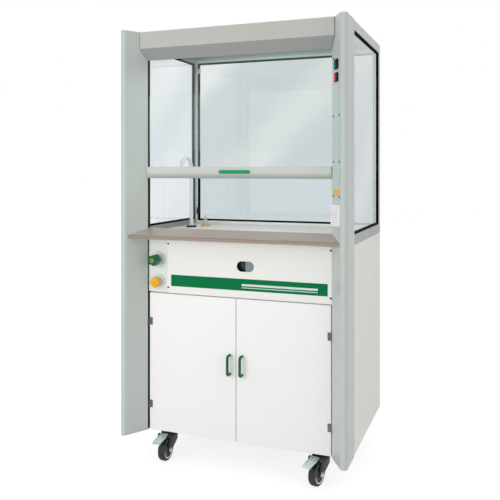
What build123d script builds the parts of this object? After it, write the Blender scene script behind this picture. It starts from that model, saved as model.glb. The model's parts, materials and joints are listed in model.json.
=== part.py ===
from build123d import *
from math import cos, pi, radians, sin
import os

# Mobile fume hood: a glazed work chamber with a vertical sash, over a cabinet on four casters.
# Millimetres. The origin is on the floor under the middle of the hood, +X points right as seen
# from the sash, +Y to the rear and +Z up.

# Overall size
WIDTH = 1000.0
DEPTH = 772.0
HEIGHT = 1906.0
UNDERSIDE = 143.0
FRONT = -DEPTH / 2
REAR = DEPTH / 2
TOUCH = 0.3

# Front pilasters, folded steel, with a rounded nose and a face slanted towards the opening
SKIN = 2.0
PILASTER_WIDTH = 81.5
NOSE_R = 14.5
SLANT_DEG = 30.5
FLANGE_LAND = 3.8
POCKET_DEPTH = 14.4
STRIP_WIDTH = 20.0
STRIP_DEPTH = 20.0
OPENING_HALF = WIDTH / 2 - PILASTER_WIDTH

# Point where the slanted face runs into the rounded nose, and where it meets the flange
LEAN = (sin(radians(SLANT_DEG)), cos(radians(SLANT_DEG)))
NOSE_TOUCH = (WIDTH / 2 - NOSE_R - NOSE_R * LEAN[1], FRONT + NOSE_R - NOSE_R * LEAN[0])
FLANGE_Y = NOSE_TOUCH[1] + (NOSE_TOUCH[0] - OPENING_HALF) * LEAN[1] / LEAN[0]

# Sash, fixed pane and their guides, from front to back
GLASS = 5.0
SLOT_PLAY = 0.6
FIXED_PLAY = 0.3
SLOT_DEPTH = 11.0
GLASS_IN_SLOT = 9.0
SLOT_WALL = 1.9
SLOT_PITCH = 10.0
GUIDE_DEPTH = 21.5
GUIDE_FRONT = FLANGE_Y + FLANGE_LAND
SASH_FRONT = GUIDE_FRONT + SLOT_WALL + SLOT_PLAY
FIXED_FRONT = SASH_FRONT + SLOT_PITCH
PILASTER_BACK = GUIDE_FRONT + GUIDE_DEPTH
STRIP_BACK = PILASTER_BACK + STRIP_DEPTH

# Levels
CABINET_TOP = 993.0
FLOOR_THICK = 19.0
SERVICE_HEIGHT = 236.0
DOOR_DROP = 5.0
TOP_RAIL = 40.0
SIDE_RAIL = 43.0
FLOOR_TOP = CABINET_TOP + FLOOR_THICK
DECK_TOP = CABINET_TOP - SERVICE_HEIGHT
DOOR_TOP = DECK_TOP - DOOR_DROP
TOP_RAIL_Z = HEIGHT - TOP_RAIL
SIDE_SILL_Z = CABINET_TOP + SIDE_RAIL

# Window frames, gaskets and panes
SIDE_RECESS = 3.0
SIDE_FRAME_DEPTH = 15.0
REAR_STILE = 40.0
FRONT_STILE = 15.0
REAR_FRAME_DEPTH = 25.0
REAR_FRAME_STILE = 11.0
REAR_FRAME_RAIL = 37.0
REAR_FRAME_SILL = 35.5
GASKET_FACE = 9.0
GASKET_BITE = 5.0
SIDE_GASKET_DEPTH = 15.0
REAR_GASKET_DEPTH = 15.0
PANE = 6.0
SIDE_PANE_LIP = 6.0
REAR_PANE_LIP = 5.5
SIDE_OUT = WIDTH / 2 - SIDE_RECESS
SIDE_IN = SIDE_OUT - SIDE_FRAME_DEPTH
REAR_FRAME_TOP_Z = HEIGHT - REAR_FRAME_RAIL
REAR_FRAME_SILL_Z = CABINET_TOP + REAR_FRAME_SILL

# Header and roof
HEADER_REACH = 40.0
HEADER_FACE = 74.0
HEADER_DROP = 128.0
HEADER_GAP = 3.0
HEM = 12.0
ROOF_EDGE = 25.0
LAMP_SIZE = (620.0, 90.0, 42.0)
LAMP_SETBACK = 60.0
HEADER_FRONT = GUIDE_FRONT - HEADER_REACH
CREASE_Z = HEIGHT - HEADER_FACE
HEADER_BOTTOM = HEIGHT - HEADER_DROP

# Sill, an aerofoil that leads air under the sash
SILL_REACH = 91.0
LIP_R = 6.0
LIP_RISE = 2.0
CREST_RISE = 29.0
CREST_LAND = 19.0
SILL_WALL = 4.0
SILL_GAP = 0.6
SKIRT_DROP = 4.0
SILL_BACK = PILASTER_BACK
LIP_FRONT = GUIDE_FRONT - SILL_REACH
LIP_TOP = FLOOR_TOP + LIP_RISE
CREST_Z = FLOOR_TOP + CREST_RISE
CREST_FRONT = SILL_BACK - CREST_LAND
SKIRT_Z = CABINET_TOP - SKIRT_DROP

# Sash: its leaf and the fixed pane share the opening's height and overlap when it is shut
SASH_RAISED = 221.0
LEAF_TRIM = 3.5
LEAF_OVERLAP = 23.0
SHUT_PLAY = 2.0
RAIL_HEIGHT = 50.0
RAIL_PROUD = 13.0
RAIL_BEHIND = 8.0
RAIL_WALL = 2.0
PULL_LENGTH = 138.0
PULL_RISE = 21.0
PULL_HEIGHT = 14.6
PULL_REACH = 12.0
WEIGHT_SIZE = (30.0, 40.0, 480.0)
WEIGHT_INSET = 42.5
WEIGHT_RISE = 288.0
SASH_LEAF = (HEADER_BOTTOM - CREST_Z) / 2 - LEAF_TRIM
RAIL_Z = CREST_Z + SASH_RAISED
SASH_TOP = RAIL_Z + SASH_LEAF
FIXED_BOTTOM = CREST_Z + SHUT_PLAY + SASH_LEAF - LEAF_OVERLAP
FIXED_TOP = HEIGHT - ROOF_EDGE - HEADER_GAP
RAIL_FRONT = SASH_FRONT - RAIL_PROUD
RAIL_BACK = SASH_FRONT + RAIL_BEHIND
PULL_Z = RAIL_Z + PULL_RISE
WEIGHT_X = OPENING_HALF + WEIGHT_INSET
WEIGHT_Z = FLOOR_TOP + WEIGHT_RISE

# Work floor, drip cup and outlets
FLOOR_SLOT = 11.0
LUG_INSET = 182.0
LUG_SIZE = (80.0, 6.0)
OUTLET_INSET = 79.0
OUTLET_SETBACK = 249.0
GAS_OFFSET = (48.0, 65.0)
CUP_SIZE = (70.0, 150.0, 75.0)
CUP_WALL = 3.0
CUP_RIM = 8.0
CUP_DRAIN_R = 14.0
CUP_DRAIN = 30.0
SEAT_DEPTH = 1.0
SPOUT_R = 9.0
SPOUT_WALL = 2.0
SPOUT_RISE = 291.0
SPOUT_BEND = 55.0
SPOUT_DROP = 41.0
SPOUT_COLLAR_R = 12.5
SPOUT_COLLAR = 12.0
SPOUT_TIP = 14.0
TAIL = 20.0
FLANGE_PLATE_R = 25.0
FLANGE_PLATE = 8.0
FLANGE_BEVEL = 2.0
GAS_BODY_R = 13.0
GAS_BODY = 26.0
GAS_SHOULDER = 5.0
GAS_SPIKE_R = 5.5
GAS_SPIKE = 22.0
GAS_RIBS = 3
SPOUT_BORE = SPOUT_R - SPOUT_WALL
SPOUT_AT = (OUTLET_INSET - SIDE_IN, REAR - OUTLET_SETBACK)
GAS_AT = (SPOUT_AT[0] + GAS_OFFSET[0], SPOUT_AT[1] + GAS_OFFSET[1])
CUP_AT = (SPOUT_AT[0], SPOUT_AT[1] - 2 * SPOUT_BEND)
SPOUT_STRAIGHT = FLOOR_TOP + SPOUT_RISE
SPOUT_END = SPOUT_STRAIGHT - SPOUT_DROP

# Controls on the slanted face of the right pilaster: s runs from the opening to the nose
PLATE_S = (1.5, 90.5)
PLATE_RISE = 192.0
PLATE_DROP = 154.0
PLATE = 1.5
ROCKER_S = (30.0, 74.0)
GREEN_DROP = 174.0
GREEN_HEIGHT = 40.0
RED_DROP = 227.0
RED_HEIGHT = 36.0
BEZEL = 3.0
BEZEL_R = 7.0
BEZEL_PROUD = 4.0
ROCKER_PLAY = 1.2
ROCKER_DEPTH = 12.0
ROCKER_SHY = 2.2
TILE_S = (21.0, 80.0)
TILE_RISE = 17.0
TILE_HEIGHT = 20.0
TILE = 2.0
SOCKET_S = (3.0, 89.0)
SOCKET_RISE = 85.0
SOCKET_HEIGHT = 84.0
SOCKET_PROUD = 12.0
CABLE_HOLE = (36.0, 30.0)
SWITCH_SIZE = (10.0, 18.0)
SWITCH_INSET = 16.0
SWITCH_RISE = 14.0
SCREW_S = (10.0, 85.5)
SCREW_SHARES = (0.979, 0.574, 0.255, 0.016)
SCREW_HEAD_R = 4.0
SCREW_HEAD = 2.2
PLATE_Z = (CABINET_TOP + PLATE_RISE, HEIGHT - PLATE_DROP)
GREEN_Z = (HEIGHT - GREEN_DROP - GREEN_HEIGHT, HEIGHT - GREEN_DROP)
RED_Z = (HEIGHT - RED_DROP - RED_HEIGHT, HEIGHT - RED_DROP)
TILE_Z = (PLATE_Z[0] + TILE_RISE, PLATE_Z[0] + TILE_RISE + TILE_HEIGHT)
SOCKET_Z = (CABINET_TOP + SOCKET_RISE, CABINET_TOP + SOCKET_RISE + SOCKET_HEIGHT)

# Cabinet
BOARD = 18.0
DOOR_SETBACK = 7.5
HINGE_GAP = 5.5
DOOR_GAP = 3.0
STILE = 18.0
TOP_CROSS = 40.0
BEARER_DROP = 13.0
BEARER_WIDTH = 80.0
BEARER_INSET = 70.0
BACK_SHEET = 3.0
LOUVRE_SIZE = (120.0, 8.0)
LOUVRE_STEP = (150.0, 20.0)
LOUVRE_COUNT = (4, 7)
LOUVRE_DROP = 123.0
DOOR_FACE = GUIDE_FRONT + DOOR_SETBACK
DOOR_BACK = DOOR_FACE + BOARD
DOOR_HALF = OPENING_HALF - HINGE_GAP
BEARER_Z = UNDERSIDE - BEARER_DROP
BEARER_HALF = WIDTH / 2 - BEARER_INSET
LOUVRE_Z = CABINET_TOP - LOUVRE_DROP

# Hinges and door handles
HINGE_DROP = 126.0
HINGE_RISE = 115.0
HINGE_HEIGHT = 33.0
HINGE_R = 3.2
HINGE_PROUD = 2.2
PIN_R = 1.5
PIN_PLAY = 0.2
KNUCKLE = 11.0
KNUCKLE_PLAY = 0.3
LEAF = 1.6
LEAF_WIDTH = 15.0
HANDLE_X = 28.0
HANDLE_DROP = 282.5
HANDLE_SPAN = 80.0
HANDLE_R = 5.8
HANDLE_REACH = 29.2
HANDLE_BEND = 12.0
HINGE_LEVELS = (DOOR_TOP - HINGE_DROP, UNDERSIDE + HINGE_RISE)
HINGE_X = DOOR_HALF + HINGE_GAP / 2
HINGE_Y = DOOR_FACE - HINGE_PROUD
HANDLE_Z = DOOR_TOP - HANDLE_DROP

# Service panel, knob strip, knobs
PANEL_SETBACK = -2.5
STRIP_PANEL_WIDTH = 97.5
PANEL_PLAY = 0.5
PANEL_SCREW_INSET = 5.0
PANEL_SCREW_DROP = 19.0
PANEL_SCREW_RISE = 25.0
WINDOW_X = 46.2
WINDOW_DROP = 102.0
WINDOW_SIZE = (77.0, 44.0)
INDICATOR_RIM = 10.0
INDICATOR_DEPTH = 30.0
KNOB_INSET = 47.5
WATER_DROP = 90.4
GAS_DROP = 189.0
DISC_R = 35.0
DISC = 1.5
SPINDLE_R = 6.0
SPINDLE_PLAY = 0.3
SPINDLE_TAIL = 30.0
KNOB_R = 25.0
HUB_TIP_R = 9.0
HUB_FOOT_R = 11.0
KNOB_EDGE = 2.5
KNOB_CAP_R = 9.0
KNOB_CAP = 2.0
WATER_KNOB_LOBES = 5
WATER_KNOB_WAIST = 20.5
WATER_KNOB_THICK = 36.0
WATER_KNOB_REACH = 58.0
GAS_KNOB_LOBES = 4
GAS_KNOB_WAIST = 16.0
GAS_KNOB_THICK = 16.0
GAS_KNOB_REACH = 38.0
PANEL_FACE = GUIDE_FRONT + PANEL_SETBACK
PANEL_SPLIT = STRIP_PANEL_WIDTH - OPENING_HALF
WINDOW_Z = CABINET_TOP - WINDOW_DROP
KNOB_X = KNOB_INSET - OPENING_HALF
WATER_Z = CABINET_TOP - WATER_DROP
GAS_Z = CABINET_TOP - GAS_DROP

# Filter and fan behind the service panel
FAN_SIZE = (460.0, 400.0, 92.0)
FAN_AT = (30.0, 50.0)
FAN_WALL = 3.0
SCROLL_R = 120.0
IMPELLER_R = 90.0
MOTOR_R = 45.0
DUCT_WIDTH = 240.0
FILTER_HEIGHT = 100.0
FILTER_RIM = 20.0
FILTER_BED_DROP = 8.0

# Casters
WHEEL_R = 50.0
WHEEL_WIDTH = 32.0
HUB_R = 16.0
AXLE_R = 5.0
AXLE_PLAY = 0.2
TRAIL = 40.0
CASTER_INSET = 148.0
CASTER_SETBACK = 82.5
CASTER_REAR_INSET = 100.0
FORK_GAP = 2.0
FORK_LEG = 5.0
HEAD_R = 39.0
HEAD_CLEAR = 4.0
WEB = 14.0
CHEEK_WIDTH = 72.0
CHEEK_HEIGHT = 24.0
RIGHT_FRONT_TURN = -13.0
PEDAL_WIDTH = 55.0
PEDAL_TIP_WIDTH = 42.0
PEDAL_SHOULDER = 24.0
PEDAL_START = 8.0
PEDAL_LIP = 12.0
PEDAL_RISE = 4.0
EAR_SPAN = (-30.0, 6.0)
EAR_DROP = 6.0
PEDAL_SHEET = 2.5
PEDAL_PIVOT = (-44.0, 111.0)
PEDAL_REACH = 91.0
PEDAL_FALL = 7.0
CASTER_X = WIDTH / 2 - CASTER_INSET
CASTER_FRONT_Y = GUIDE_FRONT + CASTER_SETBACK
CASTER_REAR_Y = REAR - CASTER_REAR_INSET
HEAD_BOTTOM = 2 * WHEEL_R + HEAD_CLEAR
HEAD_TOP = BEARER_Z - TOUCH


def box(x, y, z):
    """Block between two limits on each axis."""
    size = (x[1] - x[0], y[1] - y[0], z[1] - z[0])
    middle = ((x[0] + x[1]) / 2, (y[0] + y[1]) / 2, (z[0] + z[1]) / 2)
    return Pos(*middle) * Box(*size)


def rod(at, radius, length, axis="Z"):
    """Cylinder that starts at a point and runs along +Z, or along -Y for axis Y, or +X."""
    turn = {"Z": Rot(0, 0, 0), "Y": Rot(90, 0, 0), "X": Rot(0, 90, 0)}[axis]
    align = (Align.CENTER, Align.CENTER, Align.MIN)
    return Pos(*at) * turn * Cylinder(radius, length, align=align)


def prism(points, low, high):
    """Plan outline raised from one level to another."""
    outline = make_face(Polyline(*points, close=True))
    return Pos(0, 0, low) * extrude(outline, high - low)


def across(points, half, rounds=()):
    """Outline in the Y-Z plane carried across the hood, with rounded corners where listed."""
    outline = make_face(Polyline(*[(y, z) for y, z in points], close=True))
    for index, radius in rounds:
        outline = fillet(corner(outline, points[index]), radius)
    section = Plane((-half, 0, 0), x_dir=(0, 1, 0), z_dir=(1, 0, 0))
    return section * extrude(outline, 2 * half)


def corner(outline, point):
    """Vertex of a flat outline nearest to a point."""
    return outline.vertices().sort_by_distance((point[0], point[1], 0))[0]


def other_side(shape):
    """The same piece on the other side of the hood."""
    return mirror(shape, about=Plane.YZ)


def slant_x(y):
    """Distance from the middle of the hood to the slanted face, at a given depth."""
    return NOSE_TOUCH[0] - (y - NOSE_TOUCH[1]) * LEAN[0] / LEAN[1]


def slant_y(x):
    """Depth at which the slanted face is a given distance from the middle of the hood."""
    return NOSE_TOUCH[1] + (NOSE_TOUCH[0] - x) * LEAN[1] / LEAN[0]


# The slanted face's own plane: it starts a little way in from the flange
SLANT_INSET = 8.5
SLANT_START = (OPENING_HALF + SLANT_INSET, slant_y(OPENING_HALF + SLANT_INSET))
SLANT_FACE = Plane(
    (SLANT_START[0], SLANT_START[1], 0),
    x_dir=(LEAN[0], -LEAN[1], 0),
    z_dir=(-LEAN[1], -LEAN[0], 0),
)


def on_slant(s, z, out):
    """Block on the slanted face: s along it, z up, out away from its surface."""
    return SLANT_FACE * box(s, z, out)


def round_on_slant(s, z, out, radius):
    """Block on the slanted face with its corners rounded, seen from in front."""
    outline = RectangleRounded(s[1] - s[0], z[1] - z[0], radius)
    return SLANT_FACE * (Pos((s[0] + s[1]) / 2, (z[0] + z[1]) / 2, out[0]) * extrude(outline, out[1] - out[0]))


def passage(gap, low, high, back):
    """Space between the two pilasters, drawn in by a gap on each side."""
    lean = gap / LEAN[1]
    half = OPENING_HALF - gap
    bend = FLANGE_Y
    wide = slant_x(FRONT) - lean
    right = [(wide, FRONT), (half, bend), (half, back)]
    left = [(-x, y) for x, y in reversed(right)]
    return prism(right + left, low, high)


def pilaster_outline():
    nose = (WIDTH / 2, slant_y(WIDTH / 2))
    flange = (OPENING_HALF, FLANGE_Y)
    pocket_x = OPENING_HALF + POCKET_DEPTH
    points = [
        (WIDTH / 2, STRIP_BACK),
        nose,
        flange,
        (OPENING_HALF, GUIDE_FRONT),
        (pocket_x, GUIDE_FRONT),
        (pocket_x, PILASTER_BACK),
        (WIDTH / 2 - STRIP_WIDTH, PILASTER_BACK),
        (WIDTH / 2 - STRIP_WIDTH, STRIP_BACK),
    ]
    outline = make_face(Polyline(*points, close=True))
    outline = fillet(corner(outline, nose), NOSE_R)
    return outline


def pilaster():
    """Right pilaster: a folded tube, open below and capped on top."""
    outline = pilaster_outline()
    hollow = offset(outline, amount=-SKIN, kind=Kind.INTERSECTION)
    tube = extrude(outline - hollow, HEIGHT - UNDERSIDE)
    cap = Pos(0, 0, HEIGHT - UNDERSIDE - SKIN) * extrude(outline, SKIN)
    return Pos(0, 0, UNDERSIDE) * (tube + cap)


def right_pilaster():
    """Right pilaster, cut for the switches and the cable of the socket."""
    switches = on_slant((ROCKER_S[0] - 1, ROCKER_S[1] + 1), (RED_Z[0] - 1, GREEN_Z[1] + 1), (-3 * SKIN, SKIN))
    s, z = sum(SOCKET_S) / 2, sum(SOCKET_Z) / 2
    half_s, half_z = CABLE_HOLE[0] / 2, CABLE_HOLE[1] / 2
    cable = on_slant((s - half_s, s + half_s), (z - half_z, z + half_z), (-3 * SKIN, SKIN))
    return pilaster() - switches - cable


def sash_guide():
    """Right guide: an E-section channel with a slot for the sash and one for the fixed pane."""
    x = (OPENING_HALF, OPENING_HALF + POCKET_DEPTH - TOUCH)
    body = box(x, (GUIDE_FRONT + TOUCH, PILASTER_BACK - TOUCH), (UNDERSIDE, HEIGHT - SKIN - TOUCH))
    slot_x = (OPENING_HALF - 1, OPENING_HALF + SLOT_DEPTH)
    tall = (UNDERSIDE - 1, HEIGHT)
    moving = box(slot_x, (SASH_FRONT - SLOT_PLAY, SASH_FRONT + GLASS + SLOT_PLAY), tall)
    fixed = box(slot_x, (FIXED_FRONT - FIXED_PLAY, FIXED_FRONT + GLASS + FIXED_PLAY), tall)
    return body - moving - fixed


def sheet_path(points, thickness, half, rounds=()):
    """Sheet folded along a path in the Y-Z plane, as wide as the hood's opening."""
    path = Polyline(*points)
    for index, radius in rounds:
        path = fillet(corner(path, points[index]), radius)
    outline = make_face(offset(path, amount=thickness, side=Side.LEFT))
    section = Plane((-half, 0, 0), x_dir=(0, 1, 0), z_dir=(1, 0, 0))
    return section * extrude(outline, 2 * half)


def header_fascia():
    """Header: one sheet folded over the top, down the face and back along the chamfer."""
    hem_y = GUIDE_FRONT - SKIN
    path = [
        (PILASTER_BACK, HEIGHT - ROOF_EDGE),
        (PILASTER_BACK, HEIGHT),
        (HEADER_FRONT, HEIGHT),
        (HEADER_FRONT, CREASE_Z),
        (hem_y, HEADER_BOTTOM),
        (hem_y, HEADER_BOTTOM + HEM),
    ]
    sheet = sheet_path(path, SKIN, WIDTH / 2, rounds=((2, 4.0), (4, 2.5)))
    return sheet & passage(HEADER_GAP, HEADER_BOTTOM - SKIN, HEIGHT + 1, PILASTER_BACK)


def roof_panel():
    """Roof: a shallow tray, hollow below, set between the top rails."""
    x = (-SIDE_IN + TOUCH, SIDE_IN - TOUCH)
    y = (PILASTER_BACK + TOUCH, REAR - REAR_FRAME_DEPTH - TOUCH)
    tray = box(x, y, (HEIGHT - ROOF_EDGE, HEIGHT))
    inside = box((x[0] + SKIN, x[1] - SKIN), (y[0] + SKIN, y[1] - SKIN), (HEIGHT - ROOF_EDGE - 1, HEIGHT - SKIN))
    tray -= inside
    strip_x = WIDTH / 2 - STRIP_WIDTH - TOUCH
    for side in ((-WIDTH, -strip_x), (strip_x, WIDTH)):
        tray -= box(side, (FRONT, STRIP_BACK + TOUCH), (0, HEIGHT + 1))
    lips = box((strip_x - SKIN, strip_x), (y[0], STRIP_BACK + TOUCH), (HEIGHT - ROOF_EDGE, HEIGHT))
    lips += box((strip_x - SKIN, x[1]), (STRIP_BACK + TOUCH, STRIP_BACK + TOUCH + SKIN), (HEIGHT - ROOF_EDGE, HEIGHT))
    return tray + lips + other_side(lips)


def lamp_unit():
    """Lamp under the roof: a housing with a rounded diffuser."""
    length, width, height = LAMP_SIZE
    top = HEIGHT - SKIN
    start = PILASTER_BACK + LAMP_SETBACK
    lamp = box((-length / 2, length / 2), (start, start + width), (top - height, top))
    lower = lamp.edges().filter_by(Axis.X).group_by(Axis.Z)[0]
    return fillet(lower, 18)


def ring(outer, inner, depth):
    """Flat frame in its own plane: outer and inner limits as (u0, u1, v0, v1)."""
    u0, u1, v0, v1 = outer
    a0, a1, b0, b1 = inner
    plate = Pos((u0 + u1) / 2, (v0 + v1) / 2, 0) * Rectangle(u1 - u0, v1 - v0)
    gap = Pos((a0 + a1) / 2, (b0 + b1) / 2, 0) * Rectangle(a1 - a0, b1 - b0)
    return extrude(plate - gap, depth)


def side_plane(x):
    """Plane facing right at a distance from the middle: u to the rear, v up."""
    return Plane((x, 0, 0), x_dir=(0, 1, 0), z_dir=(1, 0, 0))


def rear_plane(y):
    """Plane facing the rear: u to the left, v up."""
    return Plane((0, y, 0), x_dir=(-1, 0, 0), z_dir=(0, 1, 0))


SIDE_GAP = (STRIP_BACK + FRONT_STILE, REAR - REAR_STILE, SIDE_SILL_Z, TOP_RAIL_Z)
REAR_HALF = SIDE_IN - TOUCH
REAR_GAP = (-REAR_HALF + REAR_FRAME_STILE, REAR_HALF - REAR_FRAME_STILE, REAR_FRAME_SILL_Z, REAR_FRAME_TOP_Z)
SIDE_PANE_X = SIDE_OUT - SIDE_PANE_LIP - PANE
REAR_PANE_Y = REAR - REAR_FRAME_DEPTH + REAR_PANE_LIP


def inset(limits, by):
    u0, u1, v0, v1 = limits
    return (u0 + by, u1 - by, v0 + by, v1 - by)


def side_window_frame():
    """Right frame: rails and rear stile at full depth, a slim stile inside the glass in front."""
    outer = (STRIP_BACK, REAR, CABINET_TOP, HEIGHT)
    full_gap = (STRIP_BACK - 1, SIDE_GAP[1], SIDE_GAP[2], SIDE_GAP[3])
    depth = SIDE_OUT - SIDE_IN
    frame = side_plane(SIDE_IN) * ring(outer, full_gap, depth)
    frame = fillet(frame.edges().filter_by(Axis.Z).sort_by(Axis.Y)[-1], 2)
    frame = frame & box((0, WIDTH), (STRIP_BACK, REAR), (0, HEIGHT))
    slim = box((SIDE_IN, SIDE_PANE_X - TOUCH), (STRIP_BACK, SIDE_GAP[0]), (SIDE_GAP[2], SIDE_GAP[3]))
    return frame + slim


def side_window_gasket():
    """Right gasket: a groove section along the sill, the rear stile and the top rail."""
    gap = (STRIP_BACK, SIDE_GAP[1], SIDE_GAP[2], SIDE_GAP[3])
    inner = (gap[0] - 1, gap[1] - GASKET_FACE, gap[2] + GASKET_FACE, gap[3] - GASKET_FACE)
    start = SIDE_OUT - SIDE_GASKET_DEPTH
    strip = side_plane(start) * ring(gap, inner, SIDE_GASKET_DEPTH)
    strip = strip & box((0, WIDTH), (gap[0], gap[1]), (0, HEIGHT))
    slim = box((SIDE_IN, SIDE_PANE_X), (STRIP_BACK, SIDE_GAP[0]), (SIDE_GAP[2], SIDE_GAP[3]))
    return strip - slim - side_pane()


def side_pane():
    reach = GASKET_FACE - GASKET_BITE
    y = (STRIP_BACK, SIDE_GAP[1] - reach)
    z = (SIDE_GAP[2] + reach, SIDE_GAP[3] - reach)
    return box((SIDE_PANE_X, SIDE_PANE_X + PANE), y, z)


def rear_window_frame():
    outer = (-REAR_HALF, REAR_HALF, CABINET_TOP, HEIGHT)
    return rear_plane(REAR - REAR_FRAME_DEPTH) * ring(outer, REAR_GAP, REAR_FRAME_DEPTH)


def rear_window_gasket():
    start = REAR - REAR_FRAME_DEPTH + TOUCH
    strip = rear_plane(start) * ring(REAR_GAP, inset(REAR_GAP, GASKET_FACE), REAR_GASKET_DEPTH)
    return strip - rear_pane()


def rear_pane():
    u0, u1, v0, v1 = inset(REAR_GAP, GASKET_FACE - GASKET_BITE)
    return box((u0, u1), (REAR_PANE_Y, REAR_PANE_Y + PANE), (v0, v1))


def front_leaf(front, low, high):
    """Sheet of glass that runs in the two guides."""
    half = OPENING_HALF + GLASS_IN_SLOT
    return box((-half, half), (front, front + GLASS), (low, high))


def sash_glass():
    return front_leaf(SASH_FRONT, RAIL_Z + 2 * RAIL_WALL, SASH_TOP)


def sash_rail():
    """Bottom rail of the sash: a hollow extrusion that grips the glass in a groove."""
    half = OPENING_HALF - SLOT_PLAY
    low, high = RAIL_Z, RAIL_Z + RAIL_HEIGHT
    points = [(RAIL_FRONT, low), (RAIL_FRONT, high), (RAIL_BACK, high), (RAIL_BACK, low)]
    body = across(points, half, rounds=((0, 4.0), (1, 4.0), (2, 1.5), (3, 1.5)))
    chamber = box(
        (-WIDTH, WIDTH),
        (RAIL_FRONT + RAIL_WALL, SASH_FRONT - RAIL_WALL),
        (low + RAIL_WALL, high - 2 * RAIL_WALL),
    )
    return body - chamber - sash_glass()


def sash_handle():
    """Pull on the rail: a shelf with a turned-down lip for the fingers."""
    half = PULL_LENGTH / 2
    tip = RAIL_FRONT - PULL_REACH
    top = PULL_Z + PULL_HEIGHT
    points = [
        (RAIL_FRONT, PULL_Z + 4),
        (RAIL_FRONT, top),
        (tip, top - 2),
        (tip, PULL_Z),
        (tip + 3, PULL_Z),
        (tip + 3, top - 6),
        (RAIL_FRONT - 3, top - 5),
        (RAIL_FRONT - 3, PULL_Z + 4),
    ]
    return across(points, half, rounds=((2, 2.5),))


def sash_counterweight():
    """Steel bar that hangs in the left pilaster and balances the sash."""
    wide, deep, tall = WEIGHT_SIZE
    back = PILASTER_BACK - SKIN - TOUCH
    x = (-WEIGHT_X - wide / 2, -WEIGHT_X + wide / 2)
    bar = box(x, (back - deep, back), (WEIGHT_Z - tall / 2, WEIGHT_Z + tall / 2))
    return chamfer(bar.edges().filter_by(Axis.Z), 2)


def sill():
    """Front sill: a bulbed lip, a sloping top and a rounded crest, cut to the pilasters."""
    lip_z = LIP_TOP - LIP_R
    lip_y = LIP_FRONT + LIP_R
    top = [
        (lip_y, LIP_TOP),
        (CREST_FRONT, CREST_Z),
        (SILL_BACK, CREST_Z),
        (SILL_BACK, FLOOR_TOP + TOUCH),
        (SILL_BACK - SILL_WALL, FLOOR_TOP + TOUCH),
        (SILL_BACK - SILL_WALL, CREST_Z - SILL_WALL),
        (CREST_FRONT + 1, CREST_Z - SILL_WALL),
        (PANEL_FACE - SILL_WALL, CREST_Z - SILL_WALL - 3),
        (lip_y + 4, lip_z),
        (lip_y, lip_z),
    ]
    skin = across(top, WIDTH / 2, rounds=((1, 12.0), (2, 8.0)))
    bulb = rod((-WIDTH / 2, lip_y, lip_z), LIP_R, WIDTH, "X")
    front_leg = box((-WIDTH / 2, WIDTH / 2), (PANEL_FACE - SILL_WALL, PANEL_FACE), (SKIRT_Z, CREST_Z - 6))
    whole = skin + bulb + front_leg
    return whole & passage(SILL_GAP, SKIRT_Z - 1, CREST_Z + 1, SILL_BACK)


def cup_outline(size, grow=0.0):
    wide, long_side, _ = size
    return SlotOverall(long_side + 2 * grow, wide + 2 * grow, rotation=90)


def work_floor():
    """Work surface: a slab with recessed seats for the cup and outlets, and a slot behind it."""
    x = (-SIDE_IN + TOUCH, SIDE_IN - TOUCH)
    back = REAR - REAR_FRAME_DEPTH - FLOOR_SLOT
    slab = box(x, (STRIP_BACK, back), (CABINET_TOP, FLOOR_TOP))
    front_half = OPENING_HALF + POCKET_DEPTH
    slab += box((-front_half, front_half), (PILASTER_BACK + TOUCH, STRIP_BACK), (CABINET_TOP, FLOOR_TOP))
    lug_x = (SIDE_IN - LUG_INSET - LUG_SIZE[0] / 2, SIDE_IN - LUG_INSET + LUG_SIZE[0] / 2)
    lug = box(lug_x, (back, back + FLOOR_SLOT - TOUCH), (CABINET_TOP, CABINET_TOP + LUG_SIZE[1]))
    slab += lug + other_side(lug)
    hole = Pos(*CUP_AT, CABINET_TOP - 1) * extrude(cup_outline(CUP_SIZE, TOUCH), FLOOR_THICK + 2)
    rim_seat = Pos(*CUP_AT, FLOOR_TOP - CUP_WALL - TOUCH) * extrude(cup_outline(CUP_SIZE, CUP_RIM + TOUCH), FLOOR_THICK)
    slab -= hole + rim_seat
    for at, bore in ((SPOUT_AT, SPOUT_BORE), (GAS_AT, GAS_SPIKE_R)):
        slab -= rod((*at, FLOOR_TOP - SEAT_DEPTH), FLANGE_PLATE_R + TOUCH, FLOOR_THICK)
        slab -= rod((*at, CABINET_TOP - 1), bore, FLOOR_THICK + 2)
    return slab


def drip_cup():
    """Oval drip cup with a rim let into the floor and an open drain."""
    bowl_depth = CUP_SIZE[2]
    base = FLOOR_TOP - TOUCH - bowl_depth
    bowl = Pos(*CUP_AT, base) * extrude(cup_outline(CUP_SIZE), bowl_depth)
    bowl = fillet(bowl.faces().sort_by(Axis.Z)[0].edges(), 12)
    hollow = Pos(*CUP_AT, base + CUP_WALL) * extrude(cup_outline(CUP_SIZE, -CUP_WALL), bowl_depth)
    hollow = fillet(hollow.faces().sort_by(Axis.Z)[0].edges(), 9)
    rim_face = cup_outline(CUP_SIZE, CUP_RIM) - cup_outline(CUP_SIZE, -CUP_WALL)
    rim = Pos(*CUP_AT, FLOOR_TOP - TOUCH - CUP_WALL) * extrude(rim_face, CUP_WALL)
    drain = rod((*CUP_AT, base - CUP_DRAIN), CUP_DRAIN_R, CUP_DRAIN + CUP_WALL)
    outlet = rod((*CUP_AT, base - CUP_DRAIN - 1), CUP_DRAIN_R - CUP_WALL, CUP_DRAIN + 2 * CUP_WALL + 2)
    return bowl - hollow + rim + drain - outlet


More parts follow.
